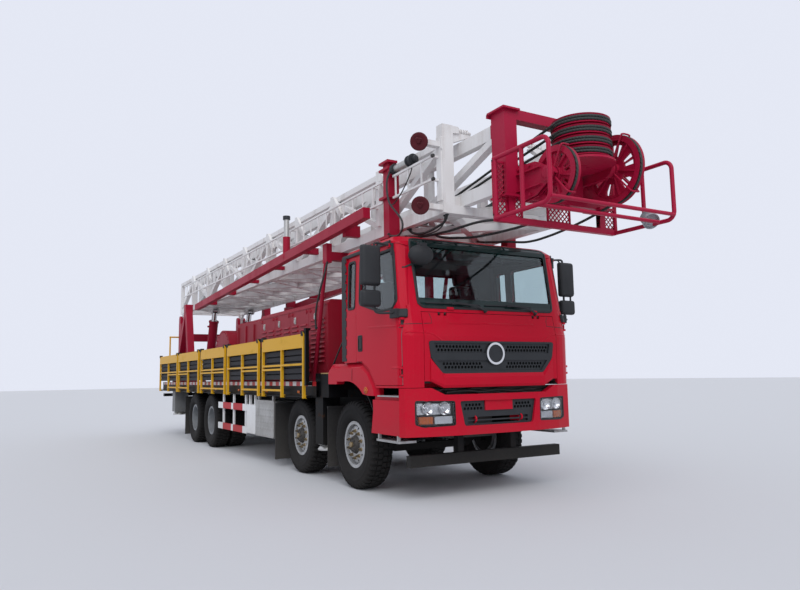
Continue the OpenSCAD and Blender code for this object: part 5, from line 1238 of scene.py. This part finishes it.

# Mast: bolted and welded white lattice, with brown grime that has run down from its joints. Two red hand wheels
# work the pins of the near portal post, coloured dark maroon as painted shade for their downward faces, and small
# sheaves sit inside its head.
MAST_FRONT = 1.7602
HAND_WHEELS = ((1.700, 4.000), (1.700, 3.270))
PORTAL_PIN = (1.700, 4.200)
PORTAL_PLATES = (
    (1.665, 0.070, ((0.721, 4.170), (0.450, 4.168), (0.450, 4.150), (0.721, 4.040))),
    (1.645, 0.110, ((0.721, 4.238), (0.640, 4.238), (0.628, 4.220), (0.628, 4.160), (0.721, 4.150))))
mast_white = weathered("mast_white", (0.76, 0.75, 0.745), (0.36, 0.29, 0.25),
                       (((1.5, 6.0), 0.50, 1.7), ((11.0, 5.0, (1, 1, 0.10)), 0.52, 1.5), ((60.0, 3.0), 0.5, 0.3)),
                       0.75, (0.42, 0.35), ((60.0, 3.0), 0.05), Specular_IOR_Level=0.2)
paint_node("mast_upper", [mast_white])
bm = cut_node("mast_lower")
whole = list(bm.verts) + list(bm.edges) + list(bm.faces)
cut = bmesh.ops.bisect_plane(bm, geom=whole, plane_co=at(MAST_FRONT, 0, 0), plane_no=(1, 0, 0),
                             clear_outer=True, dist=0.00001)
bmesh.ops.holes_fill(bm, edges=[e for e in cut["geom_cut"] if isinstance(e, bmesh.types.BMEdge)], sides=0)
hand_over("mast_lattice", bm, [mast_white], "mast", ("mast_lower",))
# The hand wheels' dark maroon is painted shade: their red is darkened for the shadow they face down into.
disc_red_painted_shade = clouded("disc_red_painted_shade", (0.115, 0.010, 0.018), (0.060, 0.014, 0.016), (14.0, 5.0), Roughness=0.6,
                      Specular_IOR_Level=0.2)
rusty_steel = clouded("rusty_steel", (0.30, 0.12, 0.045), (0.12, 0.06, 0.035), (30.0, 5.0),
                      Metallic=0.3, Roughness=0.7)
bm = bmesh.new()
out = Vector((0.66, -0.66, -0.36)).normalized()
for x, z in HAND_WHEELS:
    hub = at(x, -1.140, z)
    turned(bm, [(0.0, 0.010), (0.030, 0.012), (0.060, 0.020), (0.086, 0.024), (0.098, 0.020),
                (0.103, 0.008), (0.098, -0.004), (0.088, -0.004), (0.060, 0.004), (0.030, -0.004), (0.0, -0.006)],
           hub, out, 40, 0)
    turned(bm, [(0.0, 0.030), (0.018, 0.030), (0.024, 0.022), (0.024, -0.030), (0.0, -0.030)], hub, out, 24, 0)
    bar(bm, hub + Vector((0.075, -0.02, 0.0)), hub + Vector((0.075, -0.085, 0.0)), 0.012, 12, 0.010)
    turned(bm, [(0.019, 0.0), (0.034, 0.004), (0.038, 0.030), (0.038, 0.075), (0.028, 0.085), (0.019, 0.085)],
           at(x, -1.120, z), (0, 1, 0), 28, 1)
hand_over("hand_wheels", bm, [disc_red_painted_shade, mast_white], "mast", sharp=35)
bm = bmesh.new()
pin_x, pin_z = PORTAL_PIN
for sign in (-1, 1):
    for i, y in enumerate((0.600, 0.565, 0.530, 0.500)):
        turned(bm, [(0.008, 0.012), (0.026, 0.012), (0.034, 0.008), (0.036, 0.014), (0.038, 0.012),
                    (0.030, 0.0), (0.038, -0.012), (0.036, -0.014), (0.034, -0.008), (0.026, -0.012),
                    (0.008, -0.012)], at(pin_x, sign * y, pin_z), (0, 1, 0), 36, 1 if i == 3 else 0)
    bar(bm, at(pin_x, sign * 0.730, pin_z), at(pin_x, sign * 0.440, pin_z), 0.014, 16)
    bar(bm, at(pin_x, sign * 0.478, pin_z), at(pin_x, sign * 0.436, pin_z), 0.026, 16, 0.020)
    for x, thick, outline in PORTAL_PLATES:
        slab(bm, [at(x, sign * y, z) for y, z in outline], Vector((thick, 0, 0)))
hand_over("portal_sheaves", bm, [mast_white, rusty_steel], "mast", edge=0.002, sharp=35)

# Crown: portal, platform and hoops are one weldment in rig crimson. Its near sheave runs in a ribbed
# arm, red sleeves join the portal to the mast's white chords, and a lip closes each column's top.
GUIDE = (3.120, -0.450, 3.330)
GUIDE_R = 0.285
FAST = (3.030, 0.450, 3.520)
FAST_R = 0.370
CLUSTER = (3.020, 0.0)
PLATFORM_Z = 2.985
PUNCHED = ((-0.862, -0.680, 3.560), (-0.682, -0.482, 3.230), (-0.150, 0.180, 3.230), (0.600, 0.862, 3.230))
MESH_STEP = 0.056
MESH_X = 2.630
CLUSTER_Z = (3.590, 3.700, 3.810, 3.920)
PLATE_X = (2.6215, 2.6385)
GUSSETS = (([(2.462, 3.930), (2.300, 3.930), (2.462, 3.780)], 0.588),
           ([(2.462, 3.460), (2.300, 3.460), (2.462, 3.610)], 0.588),
           ([(2.680, 3.300), (2.680, 3.190), (2.640, 2.990), (2.600, 2.990), (2.600, 3.190)], 0.612))
GUIDE_ARM = [(2.680, 3.135), (2.680, 3.520), (2.935, 3.500), (3.075, 3.420), (3.150, 3.400), (3.195, 3.330),
             (3.150, 3.260), (3.075, 3.235), (2.935, 3.160)]
crown_red = weathered("crown_red", (0.385, 0.007, 0.042), (0.20, 0.020, 0.036),
                      (((1.8, 6.0), 0.46, 1.5), ((9.0, 4.0, (1, 1, 0.15)), 0.5, 0.8)),
                      0.55, (0.38, 0.3), ((50.0, 3.0), 0.05), Specular_IOR_Level=0.2)
bm = cut_node("crown")
plain = [f for f in bm.faces if all(PLATE_X[0] < v.co.x - AXLE_1 < PLATE_X[1] for v in f.verts)]
bmesh.ops.delete(bm, geom=plain, context="FACES")
hand_over("crown_frame", bm, [crown_red], "mast_top", ("crown",))
bm = bmesh.new()
for y0, y1, top in PUNCHED:
    wide, high = y1 - y0, top - PLATFORM_Z
    for a, b, low, up in ((y0, y0 + 0.020, PLATFORM_Z, top), (y1 - 0.020, y1, PLATFORM_Z, top),
                          (y0, y1, PLATFORM_Z, PLATFORM_Z + 0.02), (y0, y1, top - 0.02, top)):
        box_of(bm, PLATE_X, (a, b), (low, up))
    for k in range(int((wide + high) / MESH_STEP) + 1):
        rise = MESH_STEP * (k + 0.5) - wide
        start, end = max(0.0, -rise), min(wide, high - rise)
        if end - start > 0.01:
            for a, b in ((y0 + start, y0 + end), (y1 - start, y1 - end)):
                bar(bm, at(MESH_X, a, PLATFORM_Z + rise + start), at(MESH_X, b, PLATFORM_Z + rise + end), 0.0075, 4)
hand_over("punched_plates", bm, [crown_red], "mast_top")
bm = bmesh.new()
for sign in (-1, 1):
    for x, drop in ((2.452, 0.0), (2.442, 0.012), (2.440, 0.030)):
        bar(bm, at(x, sign * 0.540, 4.118 - drop), at(x, sign * 0.760, 4.118 - drop), 0.013, 12)
    for low, high in ((3.306, 3.464), (3.926, 4.074)):
        box_of(bm, (2.300, 2.462), (sign * 0.505, sign * 0.605), (low, high))
    for outline, y in GUSSETS:
        moulding(bm, outline, sign * 0.600, sign * y)
moulding(bm, GUIDE_ARM, -0.548, -0.562)
moulding(bm, GUIDE_ARM, -0.502, -0.514)
for (x0, z0), (x1, z1) in zip(GUIDE_ARM[1:5], GUIDE_ARM[2:6]):
    slab(bm, [at(x0, -0.548, z0), at(x1, -0.548, z1), at(x1, -0.512, z1), at(x0, -0.512, z0)],
         Vector((0, 0, -0.012)))
for z0, z1 in ((3.240, 3.252), (3.415, 3.427)):
    box_of(bm, (2.680, 3.020), (-0.600, -0.562), (z0, z1))
for x in (2.700, 2.860):
    for z in (3.180, 3.480):
        bar(bm, at(x, -0.560, z), at(x, -0.585, z), 0.016, 6)
turned(bm, [(0.0, 0.040), (0.045, 0.040), (0.060, 0.030), (0.075, 0.028), (0.075, 0.0), (0.0, 0.0)],
       at(GUIDE[0], -0.560, GUIDE[2]), (0, -1, 0), 32)
for spot, sign, reach in ((GUIDE, -1, 0.297), (FAST, 1, 0.382), (FAST, -1, 0.382)):
    hub = at(*spot)
    for angle in (62, -48, 150):
        way = Vector((math.cos(math.radians(angle)), 0, math.sin(math.radians(angle))))
        side = Vector((0, sign, 0))
        tube(bm, [hub + way * 0.06 + side * 0.062, hub + way * (reach - 0.04) + side * 0.062,
                  hub + way * reach + side * 0.046, hub + way * (reach + 0.004) - side * 0.030], 0.010, 8, 4)
hand_over("crown_fittings", bm, [crown_red], "mast_top", edge=0.003, sharp=32)

# The rope sheaves are cast steel in red, with windows in pairs between ribs that run from the hub
# to the grooved rim.
def sheave_wheel(bm, centre, axis, radius, half, windows):
    """A spoked sheave round an axis: rim with its groove, web rings, spokes, thin bars and ribs"""
    axis = Vector(axis)
    across = axis.orthogonal().normalized()
    inner, outer = 0.40 * radius, 0.72 * radius
    for profile in ([(radius - 0.070, -0.012), (radius - 0.060, -half), (radius, -half),
                     (radius - 0.028, 0), (radius, half), (radius - 0.060, half), (radius - 0.070, 0.012),
                     (radius - 0.070, -0.012)],
                    [(0.0455, -half), (0.078, -half), (0.082, -0.012), (inner, -0.012), (inner, 0.012),
                     (0.082, 0.012), (0.078, half), (0.0455, half), (0.0455, -half)],
                    [(outer, -0.0119), (radius - 0.066, -0.0119), (radius - 0.066, 0.0119),
                     (outer, 0.0119), (outer, -0.0119)]):
        turned(bm, profile, centre, axis, 72)

    def plate(start, end, low, high, thick):
        ways = [Matrix.Rotation(start + (end - start) * k / 4, 3, axis) @ across for k in range(5)]
        ring = [centre + w * high for w in ways] + [centre + w * low for w in reversed(ways)]
        slab(bm, [p - axis * thick for p in ring], axis * thick * 2)
    for i in range(windows):
        middle = math.tau * i / windows
        wide = math.tau / windows * 0.26
        plate(middle - wide, middle + wide, inner - 0.002, outer + 0.002, 0.0115)
        apart = middle + math.pi / windows
        plate(apart - 0.045, apart + 0.045, inner - 0.002, outer + 0.002, 0.0110)
        plate(middle - 0.035, middle + 0.035, 0.074, radius - 0.064, half - 0.004)


for node, spot, radius in (("guide_sheave", GUIDE, GUIDE_R), ("fast_sheave", FAST, FAST_R)):
    bm = bmesh.new()
    sheave_wheel(bm, at(*spot), (0, 1, 0), radius, 0.040, 6)
    hand_over(node + "_cast", bm, [crown_red], node, (node,), edge=0.003, sharp=32)
paint_node("crown_sheaves", [crown_red])

# Wire ropes lie in the grooves, black with old grease. Four lines leave the block on each side,
# drawn tight, and run down inside the mast over a roller to its foot.
ROPE = 0.0145
GROOVE = 0.012
BLOCK_R = 0.293
ROLLER = (0.350, 3.440)
ROLLER_PIN_Z = ROLLER[1] - 0.035
LINE_Y = 0.20
LINE_STEP = 0.034
LINE_END = -9.9
wire_rope = clouded("wire_rope", (0.014, 0.019, 0.018), (0.045, 0.050, 0.046), (7.0, 4.0), (0.45, 0.3),
                    Specular_IOR_Level=0.4)
lay = wire_rope.node("ShaderNodeTexWave", {"bands_direction": "DIAGONAL"},
                     {"Vector": wire_rope.place, "Scale": 14.0, "Distortion": 0.4})
wire_rope.bump(lay, 0.7, 0.003)


def ring_of_rope(bm, centre, axis, radius):
    """Rope laid round in a groove"""
    turned(bm, [(radius + r, a) for r, a in round_section(ROPE, 12)] + [(radius + ROPE, 0.0)], centre, axis, 72)


bm = bmesh.new()
for z in CLUSTER_Z:
    for lift in (-ROPE, ROPE):
        ring_of_rope(bm, at(*CLUSTER, z + lift), (0, 0, 1), BLOCK_R)
ring_of_rope(bm, at(*GUIDE), (0, 1, 0), GUIDE_R - GROOVE)
ring_of_rope(bm, at(*FAST), (0, 1, 0), FAST_R - GROOVE)
for sign in (-1, 1):
    for i, z in enumerate(CLUSTER_Z):
        leave = at(CLUSTER[0] - 0.02, sign * BLOCK_R, z + ROPE)
        reach = at(ROLLER[0], sign * (LINE_Y + LINE_STEP * i), ROLLER[1])
        bar(bm, leave, reach, ROPE, 10)
        bar(bm, reach, at(LINE_END, reach.y, ROLLER[1]), ROPE, 10)
hand_over("wire_ropes", bm, [wire_rope], "mast_top", sharp=60)
bm = bmesh.new()
bar(bm, at(ROLLER[0], -0.36, ROLLER_PIN_Z), at(ROLLER[0], 0.36, ROLLER_PIN_Z), 0.020, 20)
for sign in (-1, 1):
    turned(bm, [(0.021, -0.075), (0.030, -0.075), (0.021, -0.068), (0.021, 0.068), (0.030, 0.075), (0.021, 0.075)],
           at(ROLLER[0], sign * 0.25, ROLLER_PIN_Z), (0, 1, 0), 32)
    box_of(bm, (ROLLER[0] - 0.025, ROLLER[0] + 0.025), (sign * 0.355, sign * 0.368), (3.385, ROLLER[1]))
    box_of(bm, (ROLLER[0] - 0.030, ROLLER[0] + 0.030), (sign * 0.355, sign * 0.515), (3.380, 3.392))
for i in range(8):
    spot = (LINE_Y + LINE_STEP * (i % 4)) * (1 if i > 3 else -1)
    bar(bm, at(-9.93, spot, ROLLER[1]), at(-9.80, spot, ROLLER[1]), 0.019, 12)
box_of(bm, (-9.95, -9.90), (-0.520, 0.520), (3.400, 3.480))
hand_over("rope_roller", bm, [bright_steel], "mast_top", edge=0.002)

# A grey work lamp in a cast round housing hangs on the far end of the platform.
WORK_LAMP = (3.150, 0.800, 3.010)
lamp_grey = clouded("lamp_grey", (0.40, 0.42, 0.45), (0.22, 0.23, 0.25), (20.0, 4.0), (), ((20.0, 4.0), 0.3),
                    Roughness=0.55)
bm = bmesh.new()
lamp_way = Vector((0.72, -0.35, -0.6)).normalized()
turned(bm, [(0.0, -0.075), (0.030, -0.073), (0.055, -0.055), (0.068, -0.020), (0.080, 0.030), (0.086, 0.050),
            (0.090, 0.052), (0.090, 0.066), (0.080, 0.066), (0.074, 0.050), (0.0, 0.046)],
       at(*WORK_LAMP), lamp_way, 40)
for i in range(5):
    turned(bm, [(0.060, -0.050 + 0.014 * i), (0.080, -0.049 + 0.014 * i), (0.080, -0.045 + 0.014 * i),
                (0.060, -0.044 + 0.014 * i)], at(*WORK_LAMP), lamp_way, 40)
box_of(bm, (WORK_LAMP[0] - 0.020, WORK_LAMP[0] + 0.020), (0.740, 0.862), (2.928, 2.936))
for y in (0.740, 0.858):
    box_of(bm, (WORK_LAMP[0] - 0.018, WORK_LAMP[0] + 0.018), (y, y + 0.006), (2.930, 3.030))
hand_over("platform_lamp", bm, [lamp_grey], "mast_top", edge=0.002, sharp=35)

# Black rubber hoses and one loose cable: from the end of the side cylinder down to its column, under
# the mast's front end, and from the fast sheave back under the mast. They hang by their own weight.
HOSES = (
    ("column_hose", "mast", 0.024, "stiff", [
        (0.800, -1.018, 3.905), (0.796, -1.045, 3.840), (0.797, -1.060, 3.740), (0.812, -1.062, 3.628),
        (0.861, -1.060, 3.501), (0.945, -1.055, 3.412), (1.040, -1.050, 3.325), (1.120, -1.050, 3.248),
        (1.152, -1.050, 3.170), (1.120, -1.048, 3.100), (1.040, -1.045, 3.068), (0.940, -1.040, 3.075),
        (0.860, -1.030, 3.095), (0.790, -1.020, 3.105), (0.744, -1.010, 3.135)]),
    ("cylinder_hose", "mast", 0.014, "medium", [
        (1.240, -0.960, 3.888), (1.238, -0.968, 3.820), (1.215, -0.990, 3.740), (1.160, -1.005, 3.660),
        (1.080, -1.010, 3.590), (0.990, -1.010, 3.540), (0.905, -1.010, 3.500), (0.840, -1.010, 3.490),
        (0.782, -1.010, 3.510), (0.742, -1.000, 3.545)]),
    ("front_bundle", "mast", 0.030, "medium", [
        (1.700, -0.790, 3.212), (1.668, -0.780, 3.165), (1.600, -0.770, 3.134), (1.500, -0.760, 3.122),
        (1.400, -0.755, 3.112), (1.290, -0.750, 3.102), (1.180, -0.750, 3.100), (1.072, -0.750, 3.108),
        (0.960, -0.755, 3.128), (0.880, -0.765, 3.160), (0.834, -0.780, 3.212)]),
    ("front_bundle_thin", "mast", 0.016, "medium", [
        (1.650, -0.780, 3.212), (1.610, -0.765, 3.160), (1.530, -0.748, 3.105), (1.420, -0.735, 3.082),
        (1.300, -0.730, 3.078), (1.180, -0.730, 3.080), (1.060, -0.735, 3.090), (0.950, -0.745, 3.120),
        (0.890, -0.760, 3.160), (0.860, -0.770, 3.212)]),
    ("platform_hose_near", "mast_top", 0.030, "stiff", [
        (2.602, -0.600, 2.985), (2.500, -0.600, 2.998), (2.326, -0.600, 3.028), (2.200, -0.600, 3.050),
        (2.050, -0.600, 3.066), (1.908, -0.600, 3.074), (1.750, -0.600, 3.076), (1.609, -0.600, 3.078),
        (1.450, -0.600, 3.080), (1.300, -0.600, 3.090), (1.130, -0.600, 3.100), (0.950, -0.600, 3.116),
        (0.760, -0.600, 3.138), (0.580, -0.600, 3.168), (0.440, -0.600, 3.206)]),
    ("platform_hose_far", "mast_top", 0.030, "stiff", [
        (2.602, -0.300, 2.990), (2.470, -0.300, 2.978), (2.320, -0.300, 2.976), (2.166, -0.300, 2.980),
        (2.000, -0.300, 2.986), (1.820, -0.300, 2.996), (1.652, -0.300, 3.008), (1.480, -0.300, 3.026),
        (1.320, -0.300, 3.050), (1.180, -0.300, 3.076), (1.020, -0.300, 3.104), (0.860, -0.300, 3.142),
        (0.760, -0.300, 3.176), (0.705, -0.300, 3.206)]),
    ("fast_line", "mast_top", 0.029, "stiff", [
        (3.030, 0.450, 3.162), (2.930, 0.450, 3.150), (2.834, 0.450, 3.130), (2.720, 0.450, 3.106),
        (2.606, 0.450, 3.084), (2.430, 0.450, 3.056), (2.253, 0.450, 3.034), (2.070, 0.450, 3.016),
        (1.896, 0.450, 3.006), (1.771, 0.450, 3.003), (1.600, 0.450, 3.012), (1.450, 0.450, 3.036),
        (1.300, 0.450, 3.068), (1.140, 0.450, 3.098), (0.970, 0.450, 3.124), (0.800, 0.450, 3.152),
        (0.665, 0.450, 3.180), (0.572, 0.450, 3.206)]))
hose_black = clouded("hose_black", (0.010, 0.011, 0.012), (0.035, 0.034, 0.033), (12.0, 4.0), (0.40, 0.3),
                     ((300.0, 2.0), 0.2, 0.001), Specular_IOR_Level=0.4)


def hang_hose(name, body, thick, stiff, route, finish=hose_black):
    """A hose along its route"""
    path = smoothed([at(*p) for p in route], 3)
    bm = bmesh.new()
    tube(bm, [at(*p) for p in route], thick / 2, 12, 3)
    hose = hand_over(name, bm, [finish], body, sharp=60)
    run = sum((b - a).length for a, b in zip(path, path[1:]))


for hose in HOSES:
    hang_hose(*hose, wire_rope if hose[0] == "fast_line" else hose_black)

# Steel unions, clamps and clips hold the ends of the hoses, and black caps close the ladder's rails.
CYLINDER_AXIS = (-0.960, 3.945)
bm = bmesh.new()
bar(bm, at(0.800, -1.000, 3.930), at(0.800, -1.020, 3.900), 0.018, 12)
bar(bm, at(1.240, -0.960, 3.900), at(1.240, -0.960, 3.875), 0.012, 12)
bar(bm, at(0.738, -1.008, 3.140), at(0.752, -1.012, 3.130), 0.020, 12)
bar(bm, at(0.738, -0.999, 3.547), at(0.752, -1.002, 3.541), 0.012, 12)
for x, y in ((1.700, -0.790), (1.650, -0.780), (0.834, -0.780), (0.860, -0.770)):
    bar(bm, at(x, y, 3.218), at(x, y, 3.196), 0.022, 12)
turned(bm, [(0.046, -0.030), (0.066, -0.030), (0.070, 0.0), (0.066, 0.030), (0.046, 0.030)],
       at(0.830, *CYLINDER_AXIS), (1, 0, 0), 32)
for x in (1.190, 1.270):
    turned(bm, [(0.058, -0.012), (0.070, -0.012), (0.070, 0.012), (0.058, 0.012)],
           at(x, *CYLINDER_AXIS), (1, 0, 0), 32)
turned(bm, [(0.0, 0.060), (0.030, 0.055), (0.036, 0.040), (0.036, 0.0), (0.0, 0.0)],
       at(1.288, *CYLINDER_AXIS), (1, 0, 0), 24)
hand_over("hose_ends", bm, [grille_black], "mast", edge=0.002, sharp=32)
bm = bmesh.new()
for x, z in ((1.700, 3.580), (1.700, 3.850)):
    bar(bm, at(x - 0.012, -0.9675, z + 0.0125), at(x + 0.022, -0.9675, z + 0.0125), 0.021, 16)
hand_over("ladder_caps", bm, [cup_rubber], "mast", edge=0.003)
bm = bmesh.new()
for y, z in ((-0.600, 2.985), (-0.300, 2.990)):
    box_of(bm, (2.585, 2.602), (y - 0.030, y + 0.030), (z - 0.026, z + 0.026))
    bar(bm, at(2.560, y, z), at(2.604, y, z), 0.021, 16)
for y, x in ((-0.600, 0.440), (-0.300, 0.705), (0.450, 0.572)):
    bar(bm, at(x, y, 3.188), at(x, y, 3.212), 0.022, 16)
hand_over("platform_clamps", bm, [bright_steel], "mast_top", edge=0.002)

# Two black hoses climb beside the front rest: one from the walkway's end post to the rest's block,
# one from the cab's rear wall to the black box, whose lid is edged with a brass strip.
LID_X = (-0.852, -0.598)
RISERS = (
    ("rest_hose", 0.028, "stiff", [
        (-1.130, -1.180, 2.103), (-1.128, -1.190, 2.180), (-1.110, -1.198, 2.280), (-1.078, -1.200, 2.390),
        (-1.036, -1.196, 2.500), (-0.990, -1.186, 2.610), (-0.950, -1.172, 2.720), (-0.925, -1.152, 2.830),
        (-0.925, -1.126, 2.930), (-0.948, -1.096, 3.010), (-0.985, -1.065, 3.062)]),
    ("box_hose", 0.022, "medium", [
        (-0.110, -1.080, 2.040), (-0.190, -1.090, 2.020), (-0.290, -1.100, 1.960), (-0.390, -1.110, 1.870),
        (-0.490, -1.115, 1.770), (-0.580, -1.115, 1.680), (-0.660, -1.110, 1.610), (-0.730, -1.100, 1.560),
        (-0.790, -1.090, 1.515), (-0.815, -1.085, 1.462)]))
for name, thick, stiff, route in RISERS:
    hang_hose(name, "chassis", thick, stiff, route)
brass = clouded("brass_edge", (0.55, 0.36, 0.12), (0.30, 0.19, 0.07), (25.0, 4.0), Metallic=0.8, Roughness=0.35)
bm = bmesh.new()
box_of(bm, LID_X, (-1.222, -1.232), (1.448, 1.464), 1)
box_of(bm, LID_X, (-1.190, -1.230), (1.458, 1.464), 1)
bar(bm, at(-1.130, -1.180, 2.095), at(-1.130, -1.182, 2.125), 0.021, 12)
bar(bm, at(-0.815, -1.085, 1.455), at(-0.813, -1.086, 1.490), 0.018, 12)
bar(bm, at(-0.098, -1.080, 2.040), at(-0.130, -1.082, 2.038), 0.018, 12)
hand_over("box_edge", bm, [grille_black, brass], "chassis", edge=0.002)

# The ground is a plain pale studio floor under an even, overcast light, with one broad soft lamp
# from the front right that shapes the cab and leaves a shadow under the truck.
FLOOR_COLOUR = (0.62, 0.63, 0.65)
SKY_COLOUR = (0.78, 0.81, 0.91)
bm = bmesh.new()
bmesh.ops.create_grid(bm, x_segments=1, y_segments=1, size=120)
floor_mesh = bpy.data.meshes.new("floor")
bm.to_mesh(floor_mesh)
bm.free()
floor = bpy.data.objects.new("floor", floor_mesh)
bpy.context.scene.collection.objects.link(floor)
ground = Finish("pale_floor", Base_Color=FLOOR_COLOUR, Roughness=0.85)
floor.data.materials.append(ground.material)

world = bpy.data.worlds.new("overcast")
world.use_nodes = True
bpy.context.scene.world = world
sky = world.node_tree
rays = sky.nodes.new("ShaderNodeLightPath")
seen = rays.outputs["Is Camera Ray"]
for kind in ("Is Glossy Ray", "Is Transmission Ray"):
    either = sky.nodes.new("ShaderNodeMath")
    either.operation = "MAXIMUM"
    sky.links.new(seen, either.inputs[0])
    sky.links.new(rays.outputs[kind], either.inputs[1])
    seen = either.outputs[0]
strength = sky.nodes.new("ShaderNodeMapRange")
strength.inputs["To Min"].default_value = 0.75
strength.inputs["To Max"].default_value = 1.0
sky.links.new(seen, strength.inputs["Value"])
sky.nodes["Background"].inputs["Color"].default_value = (*SKY_COLOUR, 1)
sky.links.new(strength.outputs[0], sky.nodes["Background"].inputs["Strength"])

sun = bpy.data.objects.new("soft_sun", bpy.data.lights.new("soft_sun", "SUN"))
sun.data.energy = 1.6
sun.data.angle = 0.9
sun.rotation_euler = Vector((0.62, -0.34, 0.71)).to_track_quat("Z", "Y").to_euler()
bpy.context.scene.collection.objects.link(sun)
